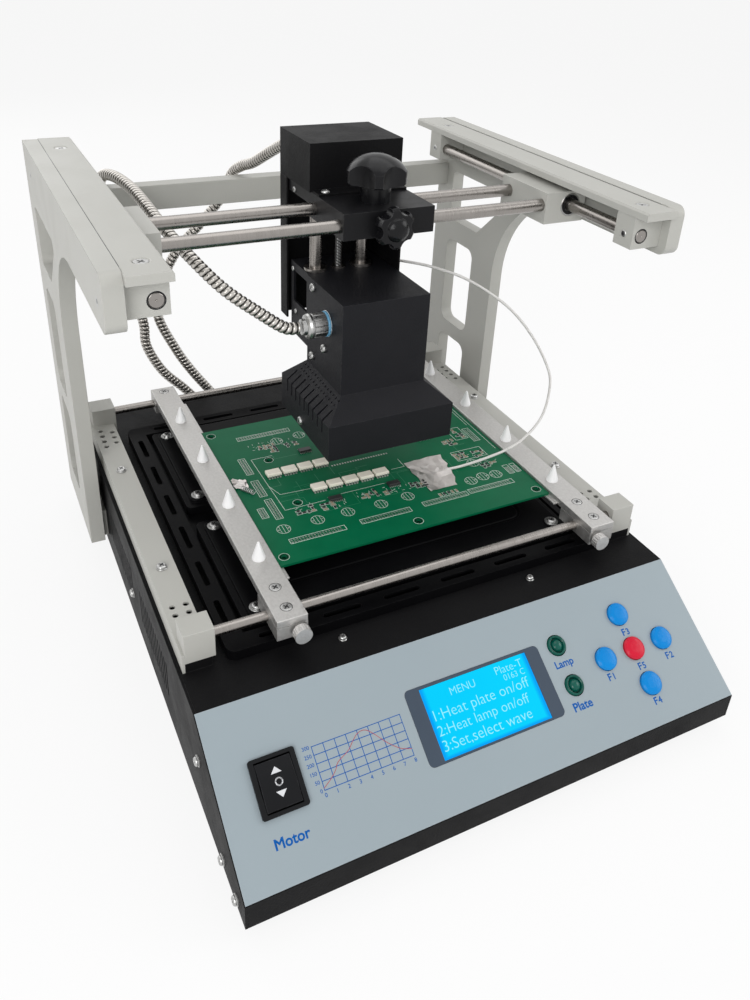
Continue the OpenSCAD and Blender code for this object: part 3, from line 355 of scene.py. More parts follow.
floor_finish = bpy.data.materials.new("pale_floor")
tree = empty_tree(floor_finish)
paper = node_in(tree, "BsdfDiffuse", Color=(floor_tone, floor_tone, floor_tone, 1))
glow = node_in(tree, "Emission", Color=white, Strength=1.0)
share = number(tree, "MULTIPLY", seen_mask(tree), floor_glow_share)
mixed = node_in(tree, "MixShader", share, paper.outputs[0], glow.outputs[0])
node_in(tree, "OutputMaterial", mixed.outputs[0])
floor.data.materials.append(floor_finish)

world = bpy.data.worlds.new("studio")
bpy.context.scene.world = world
tree = empty_tree(world)
soft = node_in(tree, "Background", Color=white, Strength=soft_light)
bright = node_in(tree, "Background", Color=white, Strength=1.0)
mixed = node_in(tree, "MixShader", seen_mask(tree), soft.outputs[0], bright.outputs[0])
node_in(tree, "OutputWorld", mixed.outputs[0])
bpy.context.scene.view_settings.view_transform = "Standard"
print("floor and world are white to the camera")

# %% Lamps
aim = Vector((0, 0, 0.12))
# Name, place in metres, size in metres and power in watts
lamps = [("key_lamp", (-1.1, -1.2, 0.95), 1.0, 15.2), ("top_lamp", (0.3, 0.3, 1.6), 1.2, 5),
         ("side_lamp", (1.3, -0.6, 0.8), 0.8, 6), ("rear_lamp", (-0.4, 1.5, 0.9), 1.0, 4)]
for name, spot, size, power in lamps:
    data = bpy.data.lights.new(name, "AREA")
    data.shape, data.size, data.energy = "SQUARE", size, power
    lamp = bpy.data.objects.new(name, data)
    bpy.context.scene.collection.objects.link(lamp)
    lamp.location = spot
    lamp.rotation_euler = (aim - lamp.location).to_track_quat("-Z", "Y").to_euler()

# %% [markdown]
# ## Shared surface effects
# Paint, metal and plastic share a few habits: a fine grain, fine lines from brushing, faint marks
# from hands and paint that wears thin on edges. The lighter edge colour is partly that wear and
# partly a painted highlight. Each habit is one node group. A group gives out values that change
# over the surface, and every material places it with its own numbers.

# %% Groups for grain and lines
def new_group(name, inputs, outputs):
    """An empty shader group with float inputs (name, value) and float outputs."""
    group = bpy.data.node_groups.new(name, "ShaderNodeTree")
    for label, value in inputs:
        socket = group.interface.new_socket(name=label, in_out="INPUT", socket_type="NodeSocketFloat")
        socket.default_value = value
    for label in outputs:
        group.interface.new_socket(name=label, in_out="OUTPUT", socket_type="NodeSocketFloat")
    return group, group.nodes.new("NodeGroupInput").outputs, group.nodes.new("NodeGroupOutput")


def place_in(tree):
    """The place on the object, as a vector socket."""
    return node_in(tree, "TexCoord").outputs["Object"]


def noise_in(tree, place, scale, detail, roughness, **values):
    """A noise value at a place."""
    return node_in(tree, "TexNoise", Vector=place, Scale=scale, Detail=detail, Roughness=roughness,
                   **values).outputs[0]


# Grain: a fine bumpy height, and a slow change of tone
grain_group, got, out = new_group("Paint grain", [("Grains per metre", 1500), ("Clouds per metre", 22)],
                                  ["Height", "Tone"])
place = place_in(grain_group)
feed(out, noise_in(grain_group, place, got[0], 2.0, 0.55), noise_in(grain_group, place, got[1], 4.0, 0.6))

# Lines: noise that is drawn out along one axis
line_group, got, out = new_group("Fine lines", [("Across X", 1), ("Across Y", 1), ("Across Z", 1)], ["Lines"])
scale = node_in(line_group, "CombineXYZ", got[0], got[1], got[2])
stretch = node_in(line_group, "VectorMath", place_in(line_group), scale.outputs[0], operation="MULTIPLY")
feed(out, noise_in(line_group, stretch.outputs[0], 1.0, 4.0, 0.65))
print("groups:", [g.name for g in bpy.data.node_groups])

# %% Groups for marks, and for edges with wear and a painted highlight
# Marks: sparse patches where hands have rubbed or dust has settled
mark_group, got, out = new_group("Hand marks", [("Marks per metre", 30), ("Amount", 0.5)], ["Mask"])
patches = noise_in(mark_group, place_in(mark_group), got[0], 6.0, 0.7, Distortion=0.4)
feed(out, number(mark_group, "MULTIPLY", in_range(mark_group, patches, 0.45, 0.75), got[1]))

# Edges: lighter where a rounded normal leaves the true one, broken up by noise; partly wear and partly a
# painted highlight
edge_wear_highlight_group, got, out = new_group("Worn edges and painted highlight", [("Width", 0.0006), ("Breaks per metre", 260)], ["Mask"])
rounded = node_in(edge_wear_highlight_group, "Bevel", got[0], samples=4)
surface = node_in(edge_wear_highlight_group, "NewGeometry")
bend = node_in(edge_wear_highlight_group, "VectorMath", rounded.outputs[0], surface.outputs["Normal"], operation="DOT_PRODUCT")
corner = in_range(edge_wear_highlight_group, bend.outputs["Value"], 0.99, 0.8)
breaks = in_range(edge_wear_highlight_group, noise_in(edge_wear_highlight_group, place_in(edge_wear_highlight_group), got[1], 4.0, 0.7), 0.4, 0.6)
feed(out, number(edge_wear_highlight_group, "MULTIPLY", corner, breaks))
print("groups:", [g.name for g in bpy.data.node_groups])

# %% [markdown]
# ## Finishes
# One function makes a painted or plastic finish: two tones of the same colour, a roughness that
# wanders a little with the hand marks, and a bump from the grain. A second one makes bare metal,
# whose roughness and bump follow fine lines along the direction in which it was worked.

# %% Makers of finishes
def begin(name, **sockets):
    """A material with a Principled shader, and that shader's fixed sockets."""
    made = bpy.data.materials.new(name)
    tree = empty_tree(made)
    shader = node_in(tree, "BsdfPrincipled", **sockets)
    node_in(tree, "OutputMaterial", shader.outputs[0])
    return made, tree, shader


def use_group(tree, group, **values):
    """The outputs of a group placed in a material, with its inputs set."""
    return node_in(tree, "Group", node_tree=group, **values).outputs


def tones(tree, mask, low, high):
    """Two colours mixed by a mask; each is a tuple or a colour socket."""
    mix = node_in(tree, "Mix", mask, data_type="RGBA")
    for k, colour in ((6, low), (7, high)):
        if isinstance(colour, tuple):
            mix.inputs[k].default_value = (*colour, 1)
        else:
            tree.links.new(colour, mix.inputs[k])
    return mix.outputs[2]


def spread(tree, value, rough, start=0.3, end=0.7):
    """Maps a value that wanders about a half into a range of roughness."""
    return in_range(tree, value, start, end, *rough)


def bumps(tree, height, depth):
    """The normal of a bump of that depth in metres."""
    return node_in(tree, "Bump", Strength=1.0, Distance=depth, Height=height).outputs[0]


def coated(name, low, high, rough, grains=1500, depth=0.0001, clouds=22, marks=30, edge_wear_and_highlight=None, **sockets):
    """Paint or plastic: two tones, wandering roughness, a fine grain and, if asked, lighter edges that are
    partly wear and partly a painted highlight.
    """
    made, tree, shader = begin(name, **sockets)
    grain = use_group(tree, grain_group, Grains_per_metre=grains, Clouds_per_metre=clouds)
    hand = use_group(tree, mark_group, Marks_per_metre=marks, Amount=1.0)
    colour = tones(tree, grain["Tone"], low, high)
    if edge_wear_and_highlight:
        colour = tones(tree, use_group(tree, edge_wear_highlight_group)[0], colour, edge_wear_and_highlight)
    feed(shader, Base_Color=colour, Roughness=spread(tree, hand["Mask"], rough, 0.0, 1.0),
         Normal=bumps(tree, grain["Height"], depth))
    return made


def worked_metal(name, low, high, rough, across, depth=0.00002):
    """Bare metal with fine lines; across is the number of lines per metre along X, Y and Z."""
    made, tree, shader = begin(name, Metallic=1.0)
    lines = use_group(tree, line_group, Across_X=across[0], Across_Y=across[1], Across_Z=across[2])[0]
    feed(shader, Base_Color=tones(tree, lines, low, high), Roughness=spread(tree, lines, rough),
         Normal=bumps(tree, lines, depth))
    return made


print("two makers of finishes are ready")

# %% [markdown]
# The base wears a black powder coat with a fine leather-like grain. The gantry and the rails are
# painted a warm light grey. The heater plates are smooth and deep black, so they show only a dim
# sheen. The carriage is anodised, which is darker and a little glossier than paint.

# %% Paints
powder_black = coated("black_powder_coat", (0.004, 0.004, 0.0046), (0.0085, 0.0084, 0.0088), (0.48, 0.62),
                      grains=900, depth=0.0002, edge_wear_and_highlight=(0.03, 0.03, 0.031), Specular_IOR_Level=0.07)
head_black = coated("black_head_coat", (0.0065, 0.0066, 0.0084), (0.0125, 0.0126, 0.0152), (0.5, 0.62),
                    grains=1300, depth=0.00016, edge_wear_and_highlight=(0.05, 0.05, 0.055), Specular_IOR_Level=0.16)
powder_grey = coated("grey_powder_coat", (0.455, 0.452, 0.42), (0.50, 0.497, 0.463), (0.42, 0.54),
                     grains=700, depth=0.00006, clouds=12, edge_wear_and_highlight=(0.60, 0.60, 0.57), Specular_IOR_Level=0.3)
heater_black = coated("heater_black", (0.002, 0.002, 0.0024), (0.0048, 0.0048, 0.0054), (0.3, 0.45),
                      grains=500, depth=0.00004, marks=18, edge_wear_and_highlight=(0.02, 0.02, 0.02), Specular_IOR_Level=0.05)
anodised = coated("black_anodised", (0.0045, 0.0045, 0.0052), (0.009, 0.009, 0.0102), (0.4, 0.52),
                  grains=2400, depth=0.00003, edge_wear_and_highlight=(0.06, 0.06, 0.06), Specular_IOR_Level=0.15)
knob_black = coated("knob_black", (0.004, 0.004, 0.0047), (0.008, 0.008, 0.0092), (0.16, 0.28),
                    grains=1600, depth=0.00004, edge_wear_and_highlight=(0.07, 0.07, 0.075), Specular_IOR_Level=0.2)
key_black = coated("key_black", (0.004, 0.0042, 0.005), (0.008, 0.0085, 0.010), (0.3, 0.42),
                   grains=1600, depth=0.00004, edge_wear_and_highlight=(0.06, 0.06, 0.065), Specular_IOR_Level=0.14)
rubber_black = coated("foot_rubber", (0.012, 0.012, 0.012), (0.02, 0.02, 0.02), (0.7, 0.85))
overlay_face = coated("panel_sheet", (0.295, 0.352, 0.385), (0.322, 0.38, 0.412), (0.42, 0.5),
                      grains=2600, depth=0.00003, clouds=8, edge_wear_and_highlight=(0.46, 0.5, 0.52), Specular_IOR_Level=0.3)
pin_white = coated("pin_white", (0.86, 0.86, 0.86), (0.92, 0.92, 0.92), (0.35, 0.5), depth=0.00004)
chip_cream = coated("chip_cream", (0.84, 0.78, 0.66), (0.92, 0.88, 0.78), (0.4, 0.55),
                    grains=3000, depth=0.00003, clouds=300)
print("paints and plastics:", len(bpy.data.materials))

# %% [markdown]
# The display's frame is slate and the rocker's frame is black, but both are one node. Their places
# tell them apart: a mask is 1 to the left of a line across the panel. Buttons and lenses are glossy
# plastic with a clear coat. The display is lit from behind, so its colour is an emission.

# %% Frames, bright plastics and the display
frames_apart = -0.095
panel_frame, tree, shader = begin("panel_frame", Specular_IOR_Level=0.15)
grain = use_group(tree, grain_group, Grains_per_metre=1800)
left = number(tree, "LESS_THAN", split(tree, place_in(tree))[0], frames_apart)
slate = tones(tree, grain["Tone"], (0.05, 0.068, 0.095), (0.062, 0.083, 0.115))
feed(shader, Base_Color=tones(tree, left, slate, (0.0055, 0.006, 0.007)),
     Roughness=spread(tree, grain["Tone"], (0.32, 0.44)), Normal=bumps(tree, grain["Height"], 0.00003))

glossy = {"depth": 0.00002, "Specular_IOR_Level": 0.14, "Coat_Weight": 0.06}
button_blue = coated("button_blue", (0.0, 0.20, 0.58), (0.002, 0.26, 0.70), (0.26, 0.36),
                     edge_wear_and_highlight=(0.03, 0.36, 0.80), **glossy)
button_red = coated("button_red", (0.56, 0.008, 0.03), (0.68, 0.014, 0.045), (0.26, 0.36),
                    edge_wear_and_highlight=(0.80, 0.06, 0.09), **glossy)
lens_green = coated("lens_green", (0.0, 0.045, 0.034), (0.002, 0.13, 0.095), (0.1, 0.16), depth=0.00001,
                    clouds=160, Specular_IOR_Level=0.2, Coat_Weight=0.12)


def lit(name, low, high):
    """A lit surface whose glow wanders between two colours."""
    made, tree, shader = begin(name, Base_Color=(0.0, 0.01, 0.02, 1), Roughness=0.4, Specular_IOR_Level=0.04,
                               Emission_Strength=1.0)
    glow = use_group(tree, grain_group, Grains_per_metre=40, Clouds_per_metre=9)
    colour = tones(tree, glow["Tone"], low, high)
    feed(shader, Emission_Color=colour)
    return made, tree, shader, colour


# The display's rim is a deeper blue: a mask from the place across and up the screen
display_blue, tree, shader, colour = lit("display_blue", (0.0, 0.56, 0.95), (0.0, 0.70, 1.0))
low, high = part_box("lcd_screen")
reach = [number(tree, "ABSOLUTE", in_range(tree, part, start, end, -1.0, 1.0, clamp=False))
         for part, start, end in zip(split(tree, place_in(tree))[:2], low, high)]
rim = in_range(tree, number(tree, "MAXIMUM", *reach), 0.90, 0.97)
feed(shader, Emission_Color=tones(tree, rim, colour, (0.0, 0.36, 0.92)))
display_letters = lit("display_letters", (0.26, 0.84, 1.0), (0.40, 0.92, 1.0))[0]
lamp_glass = coated("lamp_glass", (0.5, 0.19, 0.08), (0.62, 0.27, 0.13), (0.12, 0.2), depth=0.00002)
print("display and buttons are coloured")

# %% [markdown]
# Rods are ground steel: their lines run round them, so they are fine along the rod. The clamp bars
# are milled and then blasted, which leaves a speckle instead of lines. Fittings are plated and
# bright, and the foil is soft bare metal.

# %% Metals
rod_look = (0.25, 0.233, 0.218), (0.36, 0.338, 0.318), (0.24, 0.34)
rod_along_x, rod_along_y, rod_along_z = [
    worked_metal("rod_steel_" + axis, *rod_look, across, 0.000004)
    for axis, across in (("x", (500, 60, 60)), ("y", (60, 500, 60)), ("z", (60, 60, 500)))]
bar_metal = worked_metal("blasted_bar", (0.36, 0.352, 0.34), (0.66, 0.65, 0.635), (0.42, 0.6),
                         (700, 450, 700), 0.00008)
thread_steel = worked_metal("thread_steel", (0.1, 0.1, 0.1), (0.2, 0.2, 0.2), (0.28, 0.42), (500, 500, 500))
plated = worked_metal("plated_steel", (0.36, 0.36, 0.355), (0.58, 0.58, 0.57), (0.24, 0.38), (500, 500, 500))
knurled = worked_metal("knurled_metal", (0.46, 0.45, 0.44), (0.74, 0.73, 0.72), (0.35, 0.5),
                       (900, 900, 900), 0.00005)
motor_steel = worked_metal("motor_steel", (0.42, 0.42, 0.42), (0.52, 0.52, 0.52), (0.35, 0.5), (200, 200, 2000))
foil_metal = worked_metal("foil", (0.50, 0.46, 0.44), (0.80, 0.77, 0.75), (0.28, 0.45),
                          (160, 160, 160), 0.00006)
tin = worked_metal("tinned_pad", (0.48, 0.48, 0.46), (0.66, 0.66, 0.63), (0.3, 0.45), (900, 900, 900))
print("metals are ready,", len(bpy.data.materials), "materials so far")

# %% [markdown]
# The conduit is a steel band wound into a hose. Its groove lies deep, and a mask from the UV map
# paints the shade in it dark: the way along the hose and the turn round it give the place on the
# winding. The sensor's lead is a fine braid, where two crossing waves make the weave.

# %% Winding and braid
def way_and_turn(group):
    """The way in millimetres and the turn, from a cord's UV map."""
    return split(group, node_in(group, "UVMap", uv_map="way_and_turn").outputs[0])[:2]


wind_group, got, out = new_group("Winding", [("Pitch", band_pitch * 1000)], ["Groove"])
way, turn = way_and_turn(wind_group)
turns = number(wind_group, "ADD", number(wind_group, "DIVIDE", way, got[0]), turn)
phase = number(wind_group, "FRACT", turns)
from_middle = number(wind_group, "ABSOLUTE", number(wind_group, "SUBTRACT", phase, 0.5))
feed(out, in_range(wind_group, from_middle, 0.27, 0.44))
band_steel, tree, shader = begin("conduit_band", Metallic=1.0)
grain = use_group(tree, grain_group, Grains_per_metre=900, Clouds_per_metre=90)
steel = tones(tree, grain["Tone"], (0.44, 0.415, 0.38), (0.66, 0.635, 0.60))
# The groove's shade is painted into the base colour
feed(shader, Base_Color=tones(tree, use_group(tree, wind_group)[0], steel, (0.03, 0.028, 0.025)),
     Roughness=spread(tree, grain["Tone"], (0.24, 0.38)))

braid_group, got, out = new_group("Braid", [("Strands", 5), ("Per millimetre", 1.1)], ["Height"])
way, turn = way_and_turn(braid_group)
along = number(braid_group, "MULTIPLY", way, got[1])
around = number(braid_group, "MULTIPLY", turn, got[0])
waves = []
for sign in ("ADD", "SUBTRACT"):
    angle = number(braid_group, "MULTIPLY", number(braid_group, sign, along, around), 2 * math.pi)
    waves.append(number(braid_group, "SINE", angle))
feed(out, in_range(braid_group, number(braid_group, "MAXIMUM", *waves), -1.0, 1.0))
braid, tree, shader = begin("lead_braid", Roughness=0.5, Metallic=0.2)
weave = use_group(tree, braid_group)[0]
feed(shader, Base_Color=tones(tree, weave, (0.50, 0.475, 0.44), (0.88, 0.87, 0.85)),
     Normal=bumps(tree, weave, 0.0002))
print("winding and braid are ready")

# %% [markdown]
# The sample board is green solder mask over copper. The mask lets the copper fill show as slightly
# lighter fields. Print comes in a few inks: blue and red on the panel, white on the rocker and a
# greenish white on the board.

# %% Board and inks
mask_green = coated("solder_mask", (0.0, 0.10, 0.042), (0.002, 0.14, 0.06), (0.3, 0.4),
                    grains=600, depth=0.00002, clouds=60, Specular_IOR_Level=0.12)
trace_green = coated("covered_copper", (0.01, 0.15, 0.07), (0.03, 0.2, 0.1), (0.28, 0.38),
                     depth=0.00002, clouds=200)
inner_board = coated("inner_board", (0.01, 0.10, 0.05), (0.02, 0.14, 0.07), (0.4, 0.5))
board_ink = coated("board_ink", (0.62, 0.70, 0.64), (0.80, 0.86, 0.81), (0.5, 0.6), depth=0.00002, clouds=400)
small_look = {"rough": (0.35, 0.5), "depth": 0.00003, "clouds": 400}
part_black = coated("part_black", (0.008, 0.008, 0.009), (0.018, 0.018, 0.019), **small_look)
part_tan = coated("part_tan", (0.22, 0.16, 0.10), (0.40, 0.33, 0.25), **small_look)
ink_look = {"rough": (0.4, 0.5), "depth": 0.00001, "clouds": 200}
ink_blue = coated("ink_blue", (0.0, 0.085, 0.34), (0.003, 0.11, 0.41), **ink_look, Specular_IOR_Level=0.12)
ink_red = coated("ink_red", (0.42, 0.05, 0.05), (0.52, 0.08, 0.08), **ink_look, Specular_IOR_Level=0.12)
ink_white = coated("ink_white", (0.62, 0.63, 0.65), (0.72, 0.73, 0.75), **ink_look)
gasket_blue = coated("gasket_blue", (0.10, 0.30, 0.48), (0.16, 0.40, 0.60), (0.45, 0.6), clouds=120)
print("board and inks are ready,", len(bpy.data.materials), "materials")

# %% [markdown]
# ## Dress the CAD nodes
# Every node keeps its CAD shape and gets its finish. Sharp CAD edges look unreal, because a real
# edge always catches a thin line of light. A weld joins the corners of the imported faces, flat
# neighbours are merged, and a small bevel rounds the edges without touching the node's own mesh.

# %% Finishes of the nodes
def dress(piece, finish):
    """Gives a piece one finish all over."""
    piece.data.materials.clear()
    piece.data.materials.append(finish)


finishes = {
    powder_black: ["base_pan", "base_cover", "side_panels", "motor_cover", "back_channel"],
    head_black: ["head_bracket", "head_housing"],
    powder_grey: ["side_rails", "rail_end_blocks", "side_frame_left", "side_frame_right", "rear_beam",
                  "guide_caps", "guide_end_blocks", "bridge_blocks"],
    heater_black: ["heater_tray", "heater_plates"],
    anodised: ["carriage_block", "power_inlet"],
    knob_black: ["top_knob", "star_knob"],
    key_black: ["rocker_key"],
    rubber_black: ["feet"],
    overlay_face: ["panel_overlay"],
    panel_frame: ["panel_bezels"],
    display_blue: ["lcd_screen"],
    button_blue: ["button_f1", "button_f2", "button_f3", "button_f4"],
    button_red: ["button_f5"],
    inner_board: ["circuit_boards"],
    plated: ["rear_glands", "lamp_reflector"],
    rod_along_x: ["board_rods", "bridge_rods"],
    rod_along_y: ["guide_rods", "bridge_bushes"],
    rod_along_z: ["lift_rods", "lift_bushes"],
    bar_metal: ["clamp_bar_left", "clamp_bar_right", "clamp_sliders_left", "clamp_sliders_right"],
    knurled: ["thumbscrew_left", "thumbscrew_right"],
    pin_white: ["clamp_pins_left", "clamp_pins_right"],
    mask_green: ["sample_board"],
    motor_steel: ["lift_motor"],
    lamp_glass: ["ir_lamp"],
}
for finish, names in finishes.items():
    for name in names:
        dress(nodes[name], finish)
for piece in conduits:
    dress(piece, band_steel)
for piece in lead_pieces:
    dress(piece, braid)
print("dressed", sum(len(n) for n in finishes.values()), "nodes")


# %% Soft edges
def soften(piece, width):
    """Rounds a piece's edges by modifiers; width is in millimetres."""
    weld = piece.modifiers.new("join_corners", "WELD")
    weld.merge_threshold = 0.00001
    flats = piece.modifiers.new("merge_flats", "DECIMATE")
    flats.decimate_type = "DISSOLVE"
    flats.angle_limit = math.radians(0.6)
    bevel = piece.modifiers.new("soft_edges", "BEVEL")
    bevel.width = width / 1000
    bevel.segments = 2
    bevel.limit_method = "ANGLE"
    bevel.angle_limit = math.radians(35)
    level = piece.modifiers.new("even_light", "WEIGHTED_NORMAL")
    level.weight = 100


edge_widths = {
    0.9: ["head_housing"],
    0.7: ["motor_cover", "rail_end_blocks", "bridge_blocks", "guide_end_blocks", "carriage_block"],
    0.5: ["base_cover", "side_panels", "side_frame_left", "side_frame_right", "guide_caps", "rear_beam",
          "heater_plates", "side_rails", "clamp_bar_left", "clamp_bar_right", "clamp_sliders_left",
          "clamp_sliders_right", "back_channel", "head_bracket"],
    0.3: ["panel_bezels", "rocker_key", "heater_tray", "top_knob", "star_knob"],
}
for width, names in edge_widths.items():
    for name in names:
        soften(nodes[name], width)
bpy.context.view_layer.update()
print("soft edges on", sum(len(n) for n in edge_widths.values()), "nodes")

# %% [markdown]
# ## Small shapes
# Screws, print and small parts repeat a few forms: turned rings, thin ribbons and little blocks.
# Each helper gives points and faces, and one function gathers many of them into a single piece. So
# a hundred pads are one object, and each piece still rides on the body that carries it.

# %% Chunks of mesh
def axes_of(out):
    """Two directions across an axis."""
    side = out.orthogonal().normalized()
    return side, out.cross(side).normalized()


def turned(place, out, profile, count=36, wave=None):
    """A turned form along an axis; the profile is (radius, height) in mm, and wave(angle) scales it."""
    side, up = axes_of(out)
    rings = []
    for radius, height in profile:
        ring = []
        for k in range(count):
            angle = 2 * math.pi * k / count
            size = radius * (wave(angle) if wave else 1.0)
            across = side * math.cos(angle) + up * math.sin(angle)
            ring.append(place + (out * height + across * size) / 1000)
        rings.append(ring)
    return skin(rings)


def hollow(place, out, inner, outer, low, high, count=36):
    """A flat ring round an axis, with a small chamfer on its outer rim."""
    chamfer = 0.15
    rim = [(inner, low), (outer, low), (outer, high - chamfer), (outer - chamfer, high), (inner, high)]
    points, faces = turned(place, out, rim, count)
    last = (len(rim) - 1) * count
    faces = faces[2:] + [(last + k, last + (k + 1) % count, (k + 1) % count, k) for k in range(count)]
    return points, faces


def block(low, high, ruler, shrink=0.0):
    """A little block on a ruler's surface, its top smaller by shrink on each side."""
    rings = []
    for w, inset in ((low[2], 0.0), (high[2] - shrink, 0.0), (high[2], shrink)):
        rings.append([ruler(u, v, w) for u, v in (
            (low[0] + inset, low[1] + inset), (high[0] - inset, low[1] + inset),
            (high[0] - inset, high[1] - inset), (low[0] + inset, high[1] - inset))])
    return skin(rings if shrink else rings[::2])


def ribbon(points, width, ruler, low, high):
    """Thin strokes of ink along a line of (u, v) points on a ruler's surface."""
    strokes = []
    for (u0, v0), (u1, v1) in zip(points, points[1:]):
        way = Vector((u1 - u0, v1 - v0)).normalized()
        over, out = way * width / 2, Vector((-way.y, way.x)) * width / 2
        corners = [(u0 - over.x - out.x, v0 - over.y - out.y), (u1 + over.x - out.x, v1 + over.y - out.y),
                   (u1 + over.x + out.x, v1 + over.y + out.y), (u0 - over.x + out.x, v0 - over.y + out.y)]
        strokes.append(skin([[ruler(u, v, w) for u, v in corners] for w in (low, high)]))
    return strokes


def build(name, chunks, finish, body):
    """One piece from many chunks, with its finish, riding on a body."""
    verts, faces = [], []
    for points, sides in chunks:
        start = len(verts)
        verts += points
        faces += [tuple(start + i for i in side) for side in sides]
    piece = new_piece(name, verts, faces)
    dress(piece, finish)
    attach(piece, body)
    return piece


print("helpers for small shapes are ready")

# %% [markdown]
# ## Screws
# Every screw in the photo has a cross recess or a hexagon socket. The recess is cut as geometry:
# rings of points run up the head, turn in to the outline of the recess and go down its walls. The
# screws of the chassis sit where the CAD node has them, and the others land on the face below them.
# A dark disc at the bottom of each recess paints the shade that falls there.

# %% Screw heads
def recess(corners, between):
    """Points along a closed outline, with some between its corners."""
    line = []
    for a, b in zip(corners, corners[1:] + corners[:1]):
        line += [a.lerp(b, k / (between + 1)) for k in range(between + 1)]
    return line


def polar(angle, size):
    """A point at an angle and a distance from the middle."""
    return Vector((math.cos(angle), math.sin(angle))) * size


cross_recess = recess([polar(quarter * math.pi / 2 + angle, size) for quarter in range(4)
                       for angle, size in ((-0.26, 0.6), (0.26, 0.6), (math.pi / 4, 0.22))], 2)
hexagon_recess = recess([polar(k * math.pi / 3, 0.55) for k in range(6)], 5)
# Profiles run up a head as (share of its radius, share of its height)
pan_profile = [(1.0, 0.0), (1.0, 0.42), (0.95, 0.66), (0.84, 0.86), (0.7, 1.0)]
flat_profile = [(0.8, -1.0), (1.0, 0.0)]
button_profile = [(1.0, 0.0), (0.98, 0.5), (0.86, 0.9), (0.76, 1.0)]
recess_taper, recess_depth = 0.47, 0.5
washer_hole, washer_top, washer_seat = 0.3, 0.7, 0.6
screw_kits = {}


def put_screw(kit, place, out, width, height, profile=pan_profile, drive=cross_recess, washer=0.0,
              floor_depth=0.12):
    """Adds a screw head of that width and height in mm to a kit, with its recess, and a dark disc low in the
    recess that paints its shade.
    """
    heads, painted_shades = screw_kits.setdefault(kit, ([], []))
    side, up = axes_of(out)
    if washer:
        heads.append(hollow(place, out, width * washer_hole, washer / 2, 0.0, washer_top))
        place = place + out * washer_seat / 1000
    top = max(h for _, h in profile) * height
    rings = [[(p.normalized() * r * width / 2, h * height) for p in drive] for r, h in profile]
    bottom = [p * width * recess_taper for p in drive]
    rings += [[(p * width / 2, top) for p in drive], [(p, top - recess_depth) for p in bottom]]
    # A dark disc low in the recess paints the shade in it
    shade_rings = [[(p, h) for p in bottom] for h in (top - recess_depth - 0.1, top - floor_depth)]
    for chunks, shape in ((heads, rings), (painted_shades, shade_rings)):
        chunks.append(skin([[place + (side * p.x + up * p.y + out * h) / 1000 for p, h in ring]
                            for ring in shape]))


def land(names, start, way):
    """Where a line from a start point first meets one of the nodes."""
    hits = [nodes[name].ray_cast(start, way) for name in names]
    return min((spot for hit, spot, _, _ in hits if hit), key=lambda spot: (spot - start).length)


def screw_on(names, start, way, kit, width, height, sink=0.0, **look):
    """Puts a screw where a line meets one of the nodes, sunk into that face by so many millimetres."""
    spot = land(names, start, way)
    put_screw(kit, spot + way * sink / 1000, -way, width, height, **look)
    return spot


up_way, left_way, right_way = Vector((0, 0, 1)), Vector((-1, 0, 0)), Vector((1, 0, 0))
front_way, back_way = Vector((0, -1, 0)), Vector((0, 1, 0))
# Points nearer than this belong to one screw, and screws above this height are countersunk
one_screw, above_base = 0.012, at(0, 0, 200).z
groups = []
for vertex in nodes["chassis_screws"].data.vertices:
    near = [g for g in groups if (vertex.co.xy - g[0].xy).length < one_screw]
    if near:
        near[0].append(vertex.co)
    else:
        groups.append([vertex.co])
for points in groups:
    low, high = [Vector([pick(p[k] for p in points) for k in range(3)]) for pick in (min, max)]
    width = (high.x - low.x) * 1000
    middle = (low + high) / 2
    if low.z > above_base:
        place = Vector((*middle.xy, high.z - 0.0004))
        put_screw("chassis", place, up_way, 7.2, 1.4, flat_profile)
    else:
        place = Vector((*middle.xy, low.z))
        put_screw("chassis", place, up_way, min(6.2, width * 0.86), 1.7, washer=width)
print("chassis has", len(groups), "screws")

# %% Screws of the sheets, the gantry, the head and the clamps
# In millimetres; a search for a face starts well outside or behind the station
guide_height, head_middle, outside, behind = 264.5, 10.4, 230, 500
sheet_look = {"kit": "sheets", "width": 5.2, "height": 1.8, "washer": 6.6}
for out in (left_way, right_way):
    beside_head = head_middle + out.x * 90
    for y, z in ((71.6, 36), (33.5, 7), (12, 6), (225, 24)):
        screw_on(["side_panels"], at(out.x * outside, y, z), -out, **sheet_look)
    for y in (146, 372):
        screw_on(["side_frame_left", "side_frame_right"], at(out.x * outside, y, guide_height), -out, "gantry",
                 5.2, 0.9, sink=-0.05, profile=flat_profile, drive=hexagon_recess, floor_depth=0.03)
        screw_on(["guide_end_blocks"], at(out.x * 100, y, guide_height), out, "gantry",
                 4.4, 0.7, sink=0.4, profile=button_profile, drive=hexagon_recess)
    for y, z in ((247.4, 213), (228.2, 178.3), (247.5, 164.4), (231.4, 126)):
        screw_on(["head_housing"], at(beside_head, y, z), -out, "head", 5.8, 1.9)
    screw_on(["back_channel", "carriage_block"], at(beside_head, 280, 268), -out, "cover", 3.6, 0.9)
    screw_on(["motor_cover", "carriage_block"], at(head_middle + out.x * 23.6, 246, 290), -up_way, "cover",
             5.6, 2.0, washer=7.2)
for x, z in ((-140, 9), (0, 9), (140, 9), (-140, 40), (20, 40), (140, 40)):
    screw_on(["base_pan", "base_cover"], at(x, behind, z), front_way, **sheet_look)
for x, z in ((-14, 181), (35, 181), (-14, 240), (35, 240)):
    screw_on(["back_channel", "motor_cover"], at(x, behind, z), front_way, "cover", 4.4, 1.4)
for y, z in ((284, 213), (279.2, 183.7)):
    screw_on(["head_bracket"], at(-90, y, z), right_way, "head", 3.4, 0.8, profile=button_profile)
